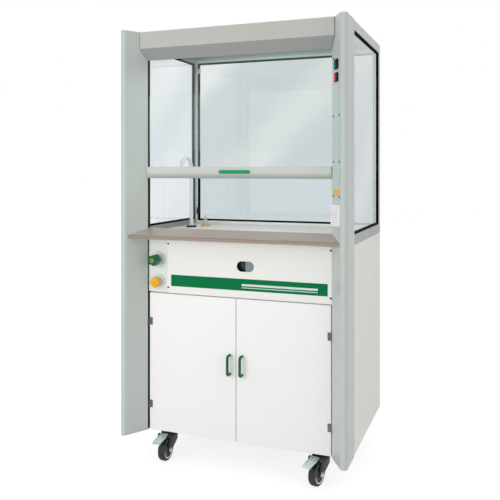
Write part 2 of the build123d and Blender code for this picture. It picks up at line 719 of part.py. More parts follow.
def water_outlet():
    """Swan-neck spout: a bent tube with a threaded collar at its foot."""
    x, y = SPOUT_AT
    foot = FLOOR_TOP + FLANGE_PLATE
    path = Polyline(
        (x, y, foot),
        (x, y, SPOUT_STRAIGHT + SPOUT_BEND),
        (x, y - 2 * SPOUT_BEND, SPOUT_STRAIGHT + SPOUT_BEND),
        (x, y - 2 * SPOUT_BEND, SPOUT_END),
    )
    route = fillet(path.vertices().group_by(Axis.Z)[-1], SPOUT_BEND - 0.5)
    start = Plane((x, y, foot), x_dir=(1, 0, 0), z_dir=(0, 0, 1))
    tube = sweep(start * Circle(SPOUT_R), path=route)
    bore = sweep(start * Circle(SPOUT_BORE), path=route)
    collar = extrude(RegularPolygon(SPOUT_COLLAR_R, 6), SPOUT_COLLAR)
    tip = rod((x, y - 2 * SPOUT_BEND, SPOUT_END), SPOUT_COLLAR_R - SPOUT_WALL, SPOUT_TIP)
    tail = rod((x, y, CABINET_TOP - TAIL), SPOUT_BORE - TOUCH, foot - CABINET_TOP + TAIL)
    plug = rod((x, y, foot), SPOUT_R, SKIN)
    return tube + Pos(x, y, foot) * collar + tip - bore + plug + tail


def outlet_flanges():
    """Foot rings of the water and gas outlets."""
    rings = []
    for at, bore in ((SPOUT_AT, SPOUT_BORE), (GAS_AT, GAS_SPIKE_R)):
        foot = FLOOR_TOP - SEAT_DEPTH
        plate = rod((*at, foot), FLANGE_PLATE_R, FLANGE_PLATE + SEAT_DEPTH)
        plate = fillet(plate.faces().sort_by(Axis.Z)[-1].edges(), FLANGE_BEVEL)
        rings.append(plate - rod((*at, foot - 1), bore, FLANGE_PLATE + SEAT_DEPTH + 2))
    return Compound(children=rings)


def gas_nozzle():
    """Gas outlet: a turned body with a ribbed spike for the hose."""
    foot = FLOOR_TOP + FLANGE_PLATE
    body_top = foot + GAS_BODY
    neck = GAS_BODY_R - GAS_SHOULDER
    profile = [(0, foot), (GAS_BODY_R, foot), (GAS_BODY_R, body_top - GAS_SHOULDER), (neck, body_top)]
    pitch = (GAS_SPIKE - GAS_SPIKE_R) / GAS_RIBS
    for rib in range(GAS_RIBS):
        level = body_top + rib * pitch
        profile += [(GAS_SPIKE_R - 1.5, level), (GAS_SPIKE_R, level + pitch * 0.4)]
    profile += [(GAS_SPIKE_R - 2, body_top + GAS_SPIKE), (0, body_top + GAS_SPIKE)]
    face = make_face(Polyline(*profile, close=True))
    body = revolve(Plane.XZ * face, Axis.Z)
    tail = rod((0, 0, CABINET_TOP - TAIL), GAS_SPIKE_R - TOUCH, foot - CABINET_TOP + TAIL)
    return Pos(*GAS_AT, 0) * (body + tail)


def control_cover_plate():
    plate = on_slant(PLATE_S, PLATE_Z, (TOUCH / 3, PLATE + TOUCH / 3))
    plate = fillet(plate.edges().filter_by(lambda e: abs(e.length - PLATE) < 0.01), 3)
    for level in (GREEN_Z, RED_Z):
        plate -= round_on_slant(ROCKER_S, level, (-PLATE, 2 * PLATE), BEZEL_R)
    return plate


def bezel(level):
    """Black rim of one rocker switch, with its body behind the plate."""
    outer = round_on_slant(ROCKER_S, level, (-ROCKER_DEPTH, PLATE + BEZEL_PROUD), BEZEL_R)
    inner_s = (ROCKER_S[0] + BEZEL, ROCKER_S[1] - BEZEL)
    inner_z = (level[0] + BEZEL, level[1] - BEZEL)
    return outer - round_on_slant(inner_s, inner_z, (-ROCKER_DEPTH + SKIN, PLATE + BEZEL_PROUD + 1), BEZEL_R - BEZEL)


def rocker(level):
    """Rocker key: two faces that meet in a shallow valley, on an upright pivot."""
    middle = sum(ROCKER_S) / 2
    half = (ROCKER_S[1] - ROCKER_S[0]) / 2 - BEZEL - ROCKER_PLAY - ROCKER_SHY
    face = PLATE + BEZEL_PROUD
    points = [
        (middle - half, face + 3.0),
        (middle, face - 1.0),
        (middle + half, face - 3.5),
        (middle + half - 2, face - 7.0),
        (middle, face - 10.0),
        (middle - half + 2, face - 4.0),
    ]
    outline = make_face(Polyline(*[(s, -out) for s, out in points], close=True))
    z = (level[0] + BEZEL + ROCKER_PLAY, level[1] - BEZEL - ROCKER_PLAY)
    key = extrude(outline, z[1] - z[0])
    upright = Plane((SLANT_START[0], SLANT_START[1], z[0]), x_dir=(LEAN[0], -LEAN[1], 0), z_dir=(0, 0, 1))
    return upright * mirror(key, about=Plane.XZ) if upright.y_dir.dot(SLANT_FACE.z_dir) > 0 else upright * key


def blank_tile():
    tile = on_slant(TILE_S, TILE_Z, (PLATE + TOUCH / 3, PLATE + TILE))
    return tile


def socket_outlet():
    """Switched socket: a surface box with three pin slots and the window of its switch."""
    body = on_slant(SOCKET_S, SOCKET_Z, (TOUCH / 3, SOCKET_PROUD))
    body = fillet(body.edges().filter_by(lambda e: abs(e.length - SOCKET_PROUD) < 1), 5)
    middle_s = sum(SOCKET_S) / 2
    middle_z = sum(SOCKET_Z) / 2
    reach = (SOCKET_PROUD - 8, SOCKET_PROUD + 1)
    body -= on_slant((middle_s - 2, middle_s + 2), (middle_z + 6, middle_z + 14), reach)
    for side in (-11, 11):
        body -= on_slant((middle_s + side - 3.2, middle_s + side + 3.2), (middle_z - 10, middle_z - 6), reach)
    half_s, half_z = SWITCH_SIZE[0] / 2, SWITCH_SIZE[1] / 2
    s = SOCKET_S[1] - SWITCH_INSET
    z = middle_z + SWITCH_RISE
    body -= on_slant((s - half_s, s + half_s), (z - half_z, z + half_z), reach)
    return body


def socket_rocker():
    middle_z = sum(SOCKET_Z) / 2 + SWITCH_RISE
    s = SOCKET_S[1] - SWITCH_INSET
    half_s = SWITCH_SIZE[0] / 2 - ROCKER_PLAY
    half_z = SWITCH_SIZE[1] / 2 - 1.2
    key = on_slant((s - half_s, s + half_s), (middle_z - half_z, middle_z + half_z), (SOCKET_PROUD - 5, SOCKET_PROUD + 2))
    cut = SLANT_FACE * (Pos(s, middle_z + half_z, SOCKET_PROUD + 3.2) * Rot(14, 0, 0) * Box(20, 2 * half_z, 4))
    return key - cut


def screw_head():
    head = Cylinder(SCREW_HEAD_R, SCREW_HEAD, align=(Align.CENTER, Align.CENTER, Align.MIN))
    head = fillet(head.faces().sort_by(Axis.Z)[-1].edges(), 1.4)
    return head - Pos(0, 0, SCREW_HEAD) * Box(5.5, 1.0, 1.6) - Pos(0, 0, SCREW_HEAD) * Box(1.0, 5.5, 1.6)


def panel_screws():
    """All cross-head screws of the cover plate and the service panel."""
    heads = []
    for index, share in enumerate(SCREW_SHARES):
        level = PLATE_Z[0] + share * (PLATE_Z[1] - PLATE_Z[0])
        for s in SCREW_S[: 1 if index == 0 else 2]:
            heads.append(SLANT_FACE * (Pos(s, level, PLATE + 2 * TOUCH / 3) * screw_head()))
    for x in (PANEL_SPLIT + PANEL_SCREW_INSET, OPENING_HALF - PANEL_SCREW_INSET):
        for z in (CABINET_TOP - PANEL_SCREW_DROP, DECK_TOP + PANEL_SCREW_RISE):
            heads.append(Pos(x, PANEL_FACE, z) * Rot(90, 0, 0) * screw_head())
    return Compound(children=heads)


def base_cabinet():
    """Carcass of boards on two steel bearers: sides, floor, deck, door stiles and top rails."""
    y = (STRIP_BACK, REAR - BACK_SHEET - TOUCH)
    side = box((SIDE_OUT - BOARD, SIDE_OUT), (STRIP_BACK, REAR), (UNDERSIDE, CABINET_TOP))
    body = side + other_side(side)
    inner = SIDE_OUT - BOARD
    stop_half = OPENING_HALF + POCKET_DEPTH - TOUCH
    for low in (UNDERSIDE, DECK_TOP - BOARD):
        body += box((-inner, inner), y, (low, low + BOARD))
        body += box((-stop_half, stop_half), (DOOR_BACK + TOUCH, STRIP_BACK), (low, low + BOARD))
    stile = box((DOOR_HALF - STILE, stop_half), (DOOR_BACK + TOUCH, DOOR_BACK + STILE), (UNDERSIDE, CABINET_TOP))
    body += stile + other_side(stile)
    for low, high in ((UNDERSIDE, DECK_TOP), (DECK_TOP - 1, CABINET_TOP)):
        web = box((stop_half - 1, inner), (STRIP_BACK, STRIP_BACK + STILE), (low, high))
        body += web + other_side(web)
    rail_y = REAR - REAR_FRAME_DEPTH - FLOOR_SLOT
    body += box((-inner, inner), (rail_y - BOARD, rail_y), (CABINET_TOP - TOP_CROSS, CABINET_TOP))
    for y0 in (CASTER_FRONT_Y, CASTER_REAR_Y):
        half = BEARER_WIDTH / 2
        body += box((-BEARER_HALF, BEARER_HALF), (y0 - half, y0 + half), (BEARER_Z, UNDERSIDE))
    return body


def back_panel():
    """Rear sheet with rows of louvre slots for the filtered air."""
    half = SIDE_OUT - BOARD - TOUCH
    sheet = box((-half, half), (REAR - BACK_SHEET, REAR), (UNDERSIDE, CABINET_TOP - TOUCH))
    slot = extrude(SlotOverall(*LOUVRE_SIZE), 3 * BACK_SHEET, both=True)
    slot = Rot(90, 0, 0) * slot
    columns, rows = LOUVRE_COUNT
    for column in range(columns):
        for row in range(rows):
            x = (column - (columns - 1) / 2) * LOUVRE_STEP[0]
            z = LOUVRE_Z + (row - (rows - 1) / 2) * LOUVRE_STEP[1]
            sheet -= Pos(x, REAR, z) * slot
    return sheet


def folded_panel(x, face, back):
    """Sheet facing the user, with its four edges folded back to the carcass."""
    z = (DECK_TOP + PANEL_PLAY, CABINET_TOP - PANEL_PLAY)
    pan = box(x, (face, back), z)
    pan = fillet(pan.faces().sort_by(Axis.Y)[0].edges(), 1.5)
    return pan - box((x[0] + SKIN, x[1] - SKIN), (face + SKIN, back + 1), (z[0] + SKIN, z[1] - SKIN))


def service_panel():
    pan = folded_panel((PANEL_SPLIT + TOUCH, OPENING_HALF - TOUCH), PANEL_FACE, DOOR_BACK)
    window = Rot(90, 0, 0) * extrude(SlotOverall(*WINDOW_SIZE), 8, both=True)
    pan -= Pos(WINDOW_X, PANEL_FACE, WINDOW_Z) * window
    return pan


def airflow_indicator():
    """Airflow gauge behind the oblong window: a dark case whose right half is stepped forward."""
    wide, tall = WINDOW_SIZE
    x = (WINDOW_X - wide / 2 - INDICATOR_RIM, WINDOW_X + wide / 2 + INDICATOR_RIM)
    z = (WINDOW_Z - tall / 2 - INDICATOR_RIM, WINDOW_Z + tall / 2 + INDICATOR_RIM)
    start = PANEL_FACE + SKIN + TOUCH
    case = box(x, (start, start + INDICATOR_DEPTH), z)
    recess = (start - 1, start + INDICATOR_DEPTH - 4 * SKIN)
    return case - box((x[0] + 2 * SKIN, WINDOW_X), recess, (z[0] + 2 * SKIN, z[1] - 2 * SKIN))


def knob_strip():
    strip = folded_panel((-OPENING_HALF + TOUCH, PANEL_SPLIT - TOUCH), DOOR_FACE, DOOR_BACK)
    for z in (WATER_Z, GAS_Z):
        strip -= rod((KNOB_X, DOOR_FACE + 5, z), SPINDLE_R + SPINDLE_PLAY, 10, "Y")
    return strip


def knob_discs():
    """Coloured discs behind the two knobs."""
    discs = []
    for z in (WATER_Z, GAS_Z):
        disc = rod((KNOB_X, DOOR_FACE, z), DISC_R, DISC, "Y")
        discs.append(disc - rod((KNOB_X, DOOR_FACE + 1, z), SPINDLE_R + SPINDLE_PLAY, DISC + 2, "Y"))
    return Compound(children=discs)


def star(lobes, waist):
    """Outline that swings smoothly between the knob's radius and its waist."""
    steps = 8 * lobes
    points = []
    for step in range(steps):
        turn = 2 * pi * step / steps
        reach = (KNOB_R + waist) / 2 + (KNOB_R - waist) / 2 * cos(lobes * turn)
        points.append((reach * cos(turn), reach * sin(turn)))
    return make_face(Spline(*points, periodic=True))


def knob_at(z, lobes, waist, thick, reach):
    """Lobed knob on a tapered hub, its spindle running back through the strip."""
    align = (Align.CENTER, Align.CENTER, Align.MIN)
    hub_length = reach - thick - KNOB_CAP - DISC - TOUCH
    head = extrude(star(lobes, waist), thick)
    head = fillet(head.faces().sort_by(Axis.Z)[-1].edges(), KNOB_EDGE)
    cap = Pos(0, 0, thick - 1) * Cylinder(KNOB_CAP_R, KNOB_CAP + 1, align=align)
    hub = Cone(HUB_FOOT_R, HUB_TIP_R, hub_length + 1, align=align)
    knob = Pos(0, 0, DISC + TOUCH) * (Pos(0, 0, hub_length) * (head + cap) + hub)
    spindle = Pos(0, 0, -SPINDLE_TAIL) * Cylinder(SPINDLE_R, SPINDLE_TAIL + DISC + hub_length, align=align)
    return Pos(KNOB_X, DOOR_FACE, z) * Rot(90, 0, 0) * (knob + spindle)


def hinge_barrel(level, low, high):
    return rod((HINGE_X, HINGE_Y, level + low), HINGE_R, high - low)


def hinge_pin(level, grow=0.0):
    start = level - HINGE_HEIGHT / 2 - 1 - grow
    return rod((HINGE_X, HINGE_Y, start), PIN_R + grow, HINGE_HEIGHT + 2 + 2 * grow)


def fixed_hinge(level):
    """Fixed half of one hinge on the right: two knuckles, the pin and a leaf on the pilaster."""
    half = HINGE_HEIGHT / 2
    edge = KNUCKLE / 2
    knuckles = hinge_barrel(level, -half, -edge) + hinge_barrel(level, edge, half)
    leaf = box((HINGE_X + 1, OPENING_HALF), (DOOR_FACE - 2, PILASTER_BACK), (level - half, level + half))
    leaf -= hinge_barrel(level, -edge - KNUCKLE_PLAY, edge + KNUCKLE_PLAY)
    relief = box((0, OPENING_HALF - 1.2), (DOOR_FACE - 10, DOOR_FACE + 4), (level - edge - 0.5, level + edge + 0.5))
    return knuckles + hinge_pin(level) + (leaf - relief)


def door():
    """Right door: a board with the moving halves of its hinges."""
    x = (DOOR_GAP / 2, DOOR_HALF)
    leaf = box(x, (DOOR_FACE, DOOR_BACK), (UNDERSIDE, DOOR_TOP))
    leaf = fillet(leaf.faces().sort_by(Axis.Y)[0].edges(), 1.2)
    edge = KNUCKLE / 2 - KNUCKLE_PLAY
    half = HINGE_HEIGHT / 2
    for level in HINGE_LEVELS:
        plate = box((DOOR_HALF - LEAF_WIDTH, DOOR_HALF), (DOOR_FACE - LEAF, DOOR_FACE), (level - half, level + half))
        arm = box((DOOR_HALF - 1, HINGE_X), (DOOR_FACE - LEAF, DOOR_FACE), (level - edge, level + edge))
        leaf += plate + arm + hinge_barrel(level, -edge, edge)
        leaf -= hinge_pin(level, PIN_PLAY)
        for low, high in ((-half, -edge), (edge, half)):
            gap_z = (level + low - 1, level + high + KNUCKLE_PLAY) if low < 0 else (level + low, level + high + 1)
            leaf -= Pos(HINGE_X, HINGE_Y, 0) * box((-HINGE_R - 0.4, 10), (-6, 6), gap_z)
    return leaf


def door_handle():
    """Right handle: a bent round bar on two feet."""
    face = DOOR_FACE
    half = HANDLE_SPAN / 2
    path = FilletPolyline(
        (HANDLE_X, face, HANDLE_Z - half),
        (HANDLE_X, face - HANDLE_REACH, HANDLE_Z - half),
        (HANDLE_X, face - HANDLE_REACH, HANDLE_Z + half),
        (HANDLE_X, face, HANDLE_Z + half),
        radius=HANDLE_BEND,
    )
    start = Plane((HANDLE_X, face, HANDLE_Z - half), x_dir=(1, 0, 0), z_dir=(0, -1, 0))
    return sweep(start * Circle(HANDLE_R), path=path)


def fan_unit():
    """Plenum with a scroll fan below the filter, blowing out through the back panel."""
    wide, deep, tall = FAN_SIZE
    x0, y0 = FAN_AT
    x = (x0 - wide / 2, x0 + wide / 2)
    y = (y0 - deep / 2, y0 + deep / 2)
    shell = box(x, y, (DECK_TOP, DECK_TOP + tall))
    shell -= box((x[0] + FAN_WALL, x[1] - FAN_WALL), (y[0] + FAN_WALL, y[1] - FAN_WALL), (DECK_TOP + FAN_WALL, HEIGHT))
    floor = DECK_TOP + FAN_WALL
    scroll = rod((x0, y0, floor), SCROLL_R, tall * 0.7) - rod((x0, y0, floor + FAN_WALL), IMPELLER_R, tall)
    motor = rod((x0, y0, floor), MOTOR_R, tall * 0.6)
    duct_back = REAR - BACK_SHEET - TOUCH
    half = DUCT_WIDTH / 2
    duct = box((x0 - half, x0 + half), (y[1] - 1, duct_back), (DECK_TOP, DECK_TOP + tall))
    bore_x = (x0 - half + FAN_WALL, x0 + half - FAN_WALL)
    duct -= box(bore_x, (y[1] - 2 * FAN_WALL, duct_back + 1), (floor, DECK_TOP + tall - FAN_WALL))
    return shell + scroll + motor + duct


def carbon_filter():
    """Filter cassette: a rim round a sunken bed."""
    wide, deep, plenum = FAN_SIZE
    base = DECK_TOP + plenum
    case = Pos(*FAN_AT, base + FILTER_HEIGHT / 2) * Box(wide, deep, FILTER_HEIGHT)
    bed = Pos(*FAN_AT, base + FILTER_HEIGHT) * Box(wide - 2 * FILTER_RIM, deep - 2 * FILTER_RIM, 2 * FILTER_BED_DROP)
    return case - bed


def fork():
    """Caster fork at its own origin, under the swivel axis, trailing towards -Y."""
    head = rod((0, 0, HEAD_BOTTOM), HEAD_R, HEAD_TOP - HEAD_BOTTOM)
    head = fillet(head.faces().sort_by(Axis.Z)[-1].edges(), 8)
    inner = WHEEL_WIDTH / 2 + FORK_GAP
    leg_outline = make_hull([
        *(Pos(-TRAIL, WHEEL_R) * Circle(HUB_R)).edges(),
        *(Pos(0, HEAD_BOTTOM + WEB - CHEEK_HEIGHT / 2) * Rectangle(CHEEK_WIDTH, CHEEK_HEIGHT)).edges(),
    ])
    leg = side_plane(inner) * extrude(leg_outline, FORK_LEG)
    web_y = (-CHEEK_WIDTH / 2, CHEEK_WIDTH / 2)
    web = box((-inner - FORK_LEG, inner + FORK_LEG), web_y, (HEAD_BOTTOM, HEAD_BOTTOM + WEB))
    crown = head + leg + other_side(leg) + web
    pin = rod((-inner - FORK_LEG, -TRAIL, WHEEL_R), AXLE_R, 2 * (inner + FORK_LEG), "X")
    cheek_x = (inner, PEDAL_WIDTH / 2 - PEDAL_SHEET - TOUCH)
    cheek = box(cheek_x, (PEDAL_PIVOT[0] - 5, 0), (HEAD_BOTTOM, HEAD_BOTTOM + WEB))
    return crown + pin + cheek + other_side(cheek)


def wheel():
    """Caster wheel: crowned tread, dished sides and a raised hub."""
    half = WHEEL_WIDTH / 2
    hub_half = half + FORK_GAP - TOUCH
    bore = AXLE_R + AXLE_PLAY
    profile = [
        (bore, -hub_half),
        (HUB_R - 2, -hub_half),
        (HUB_R, -half + 6),
        (WHEEL_R - 16, -half + 6),
        (WHEEL_R - 12, -half),
        (WHEEL_R - 3, -half + 1),
        (WHEEL_R, -half + 6),
    ]
    upper = [(r, -z) for r, z in reversed(profile)]
    face = make_face(Polyline(*profile, *upper, close=True))
    turned = revolve(Plane.XZ * face, Axis.Z)
    return Pos(0, -TRAIL, WHEEL_R) * Rot(0, 90, 0) * turned


def brake_pedal():
    """Pressed pedal: a plate that slopes forward, with two ears round the pivot."""
    half = PEDAL_WIDTH / 2
    y0, z0 = PEDAL_PIVOT
    y1, z1 = y0 - PEDAL_REACH, z0 - PEDAL_FALL
    top = [
        (y0 - PEDAL_START, z0 + PEDAL_RISE),
        (y1 + PEDAL_LIP, z1 + PEDAL_RISE),
        (y1, z1),
        (y1, z1 - PEDAL_SHEET),
        (y1 + PEDAL_LIP, z1 + PEDAL_RISE - PEDAL_SHEET),
        (y0 - PEDAL_START, z0 + PEDAL_RISE - PEDAL_SHEET),
    ]
    plate = across(top, half)
    tip_half = PEDAL_TIP_WIDTH / 2
    shoulder = y0 - PEDAL_SHOULDER
    taper = [(-half, y0), (-half, shoulder), (-tip_half, y1), (tip_half, y1), (half, shoulder), (half, y0)]
    plate = plate & prism(taper, 0, HEIGHT)
    ear = box((half - PEDAL_SHEET, half), (y0 + EAR_SPAN[0], y0 + EAR_SPAN[1]), (z0 - EAR_DROP, z0 + PEDAL_RISE))
    ear = chamfer(ear.edges().filter_by(Axis.X).group_by(Axis.Z)[0], 4)
    return plate + ear + other_side(ear)


def placed(shape, x, y, turn=0.0):
    return Pos(x, y, 0) * Rot(0, 0, turn) * shape


CASTERS = {
    "front_left": (-CASTER_X, CASTER_FRONT_Y, 0.0),
    "front_right": (CASTER_X, CASTER_FRONT_Y, RIGHT_FRONT_TURN),
    "rear_left": (-CASTER_X, CASTER_REAR_Y, 0.0),
    "rear_right": (CASTER_X, CASTER_REAR_Y, 0.0),
}


def build():
    """Every piece of the hood by its node name."""
    pieces = {
        "left_pilaster": other_side(pilaster()),
        "right_pilaster": right_pilaster(),
        "header_fascia": header_fascia(),
        "roof_panel": roof_panel(),
        "lamp_unit": lamp_unit(),
        "left_window_frame": other_side(side_window_frame()),
        "right_window_frame": side_window_frame(),
        "rear_window_frame": rear_window_frame(),
        "left_window_gasket": other_side(side_window_gasket()),
        "right_window_gasket": side_window_gasket(),
        "rear_window_gasket": rear_window_gasket(),
        "left_pane": other_side(side_pane()),
        "right_pane": side_pane(),
        "rear_pane": rear_pane(),
        "upper_front_pane": front_leaf(FIXED_FRONT, FIXED_BOTTOM, FIXED_TOP),
        "left_sash_guide": other_side(sash_guide()),
        "right_sash_guide": sash_guide(),
        "sash_glass": sash_glass(),
        "sash_rail": sash_rail(),
        "sash_handle": sash_handle(),
        "sash_counterweight": sash_counterweight(),
        "sill": sill(),
        "work_floor": work_floor(),
        "drip_cup": drip_cup(),
        "water_outlet": water_outlet(),
        "outlet_flanges": outlet_flanges(),
        "gas_nozzle": gas_nozzle(),
        "control_cover_plate": control_cover_plate(),
        "panel_screws": panel_screws(),
        "switch_bezels": Compound(children=[bezel(GREEN_Z), bezel(RED_Z)]),
        "green_rocker": rocker(GREEN_Z),
        "red_rocker": rocker(RED_Z),
        "blank_tile": blank_tile(),
        "socket_outlet": socket_outlet(),
        "socket_rocker": socket_rocker(),
        "base_cabinet": base_cabinet(),
        "back_panel": back_panel(),
        "knob_strip": knob_strip(),
        "service_panel": service_panel(),
        "airflow_indicator": airflow_indicator(),
        "knob_discs": knob_discs(),
        "water_knob": knob_at(WATER_Z, WATER_KNOB_LOBES, WATER_KNOB_WAIST, WATER_KNOB_THICK, WATER_KNOB_REACH),
        "gas_knob": knob_at(GAS_Z, GAS_KNOB_LOBES, GAS_KNOB_WAIST, GAS_KNOB_THICK, GAS_KNOB_REACH),
        "left_door": other_side(door()),
        "right_door": door(),
        "left_door_handle": other_side(door_handle()),
        "right_door_handle": door_handle(),
        "door_hinges": door_hinges(),
        "fan_unit": fan_unit(),
        "carbon_filter": carbon_filter(),
    }
    for name, (x, y, turn) in CASTERS.items():
        pieces[f"{name}_fork"] = placed(fork(), x, y, turn)
        pieces[f"{name}_wheel"] = placed(wheel(), x, y, turn)
        if name.startswith("front"):
            pieces[f"{name}_brake_pedal"] = placed(brake_pedal(), x, y, turn)
    return pieces


def door_hinges():
    """Fixed halves of the four hinges."""
    right = [fixed_hinge(level) for level in HINGE_LEVELS]
    return Compound(children=right + [other_side(half) for half in right])


os.makedirs("parts", exist_ok=True)
for name, piece in build().items():
    export_step(piece, f"parts/{name}.step")
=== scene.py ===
import json
from math import cos, pi, radians, sin

import bmesh
import bpy
from mathutils import Matrix, Vector


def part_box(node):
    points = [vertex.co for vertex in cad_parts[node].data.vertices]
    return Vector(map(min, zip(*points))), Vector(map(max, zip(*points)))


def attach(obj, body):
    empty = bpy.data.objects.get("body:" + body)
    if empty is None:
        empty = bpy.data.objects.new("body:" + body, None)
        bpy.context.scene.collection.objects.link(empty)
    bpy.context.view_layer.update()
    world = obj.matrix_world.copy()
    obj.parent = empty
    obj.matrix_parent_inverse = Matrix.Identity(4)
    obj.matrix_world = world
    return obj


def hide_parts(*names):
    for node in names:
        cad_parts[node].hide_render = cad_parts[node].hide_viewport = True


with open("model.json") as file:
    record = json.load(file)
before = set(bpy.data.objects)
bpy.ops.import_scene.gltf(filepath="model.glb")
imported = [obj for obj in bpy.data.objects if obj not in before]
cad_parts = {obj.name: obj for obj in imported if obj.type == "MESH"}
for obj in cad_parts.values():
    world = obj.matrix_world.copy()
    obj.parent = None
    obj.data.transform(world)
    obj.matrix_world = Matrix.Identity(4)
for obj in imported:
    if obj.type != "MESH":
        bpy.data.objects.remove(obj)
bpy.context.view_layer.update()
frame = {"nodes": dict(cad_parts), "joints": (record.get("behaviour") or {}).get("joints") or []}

# Dressing of the mobile fume hood: camera, light, finishes and the small parts of its look.
# It stands in the frame of the model: the floor is z = 0 and the sash faces -Y. Camera, lights,
# finishes and prints are measured in metres; the other meshes are drawn in millimetres.

NODES = frame["nodes"]
JOINTS = {joint["name"]: joint for joint in frame["joints"]}
MM = 0.001
UP = (0, 0, 1)
FORWARD = (0, -1, 0)
FACING = Matrix.Rotation(radians(90), 4, "X")


def joint_at(name):
    """Place of a joint, in millimetres."""
    return tuple(value / MM for value in JOINTS[name]["pos_m"])


# Places on the hood, in millimetres: faces along Y, heights along Z. SLANT runs forward along the
# inner face of the right pilaster, from SLANT_START, and OUTWARD leaves that face.

KNOB_X, DOOR_FACE, WATER_Z = joint_at("water_knob_turn")
GAS_Z = joint_at("gas_knob_turn")[2]
PANEL_FACE = DOOR_FACE - 10.0
WATER_FACE = DOOR_FACE - 58.0
GAS_FACE = DOOR_FACE - 37.7
DOOR_HALF = 413.0
# Below this height the side frames are darker grey: painted shade on their lower band.
SIDE_SILL = 1036.0
# Below this height the header's chamfer is darker grey: painted shade.
CREASE = 1832.0
# Beside this the airflow window turns from painted shade to painted light.
WINDOW_X = 46.2
SLANT_START = Vector((427.0, -300.76, 0.0))
SLANT = Vector((0.50754, -0.86163, 0.0))
OUTWARD = Vector((SLANT.y, -SLANT.x, 0.0))
ROCKER_MIDDLE = 50.0
POST = (-471.0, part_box("rear_window_frame")[0][1] / MM)
# Below this height the rear frame is near white: painted light.
POST_LIGHT_EDGE = 1029.0
# In front of this the sill's steel is darker: painted shade on its rounded lip.
SILL_LIP = 365.5
RINGS_SPLIT = 169.5
# Below this height the sash rail is darker grey: painted shade on its rolled lower edge.
RAIL_SHADE_EDGE = 1277.0


# Camera

CAMERA_AT = (1.0601, -2.9579, 1.2979)
CAMERA_TURN = 20.83
FOCAL_PX = 679.4
AXIS_PX = (244.6, 170.0)
FRAME_PX = 500.0
SENSOR = 36.0
CLIP_END = 60.0


def make_camera():
    """Level camera, shifted so that uprights stay upright."""
    camera = bpy.data.cameras.new("camera")
    camera.sensor_width = SENSOR
    camera.lens = FOCAL_PX / FRAME_PX * SENSOR
    camera.shift_x = 0.5 - AXIS_PX[0] / FRAME_PX
    camera.shift_y = AXIS_PX[1] / FRAME_PX - 0.5
    camera.clip_end = CLIP_END
    holder = bpy.data.objects.new("camera", camera)
    holder.location = CAMERA_AT
    holder.rotation_euler = (radians(90), 0, radians(CAMERA_TURN))
    bpy.context.collection.objects.link(holder)
    bpy.context.scene.camera = holder


# Node graphs

# Sockets of the colour kind of a Mix node, whose names are shared by its other kinds
MIX_FACTOR, MIX_FIRST, MIX_SECOND, MIX_RESULT = 0, 6, 7, 2
CRISP = 0.0002
BEVEL_SAMPLES = 4


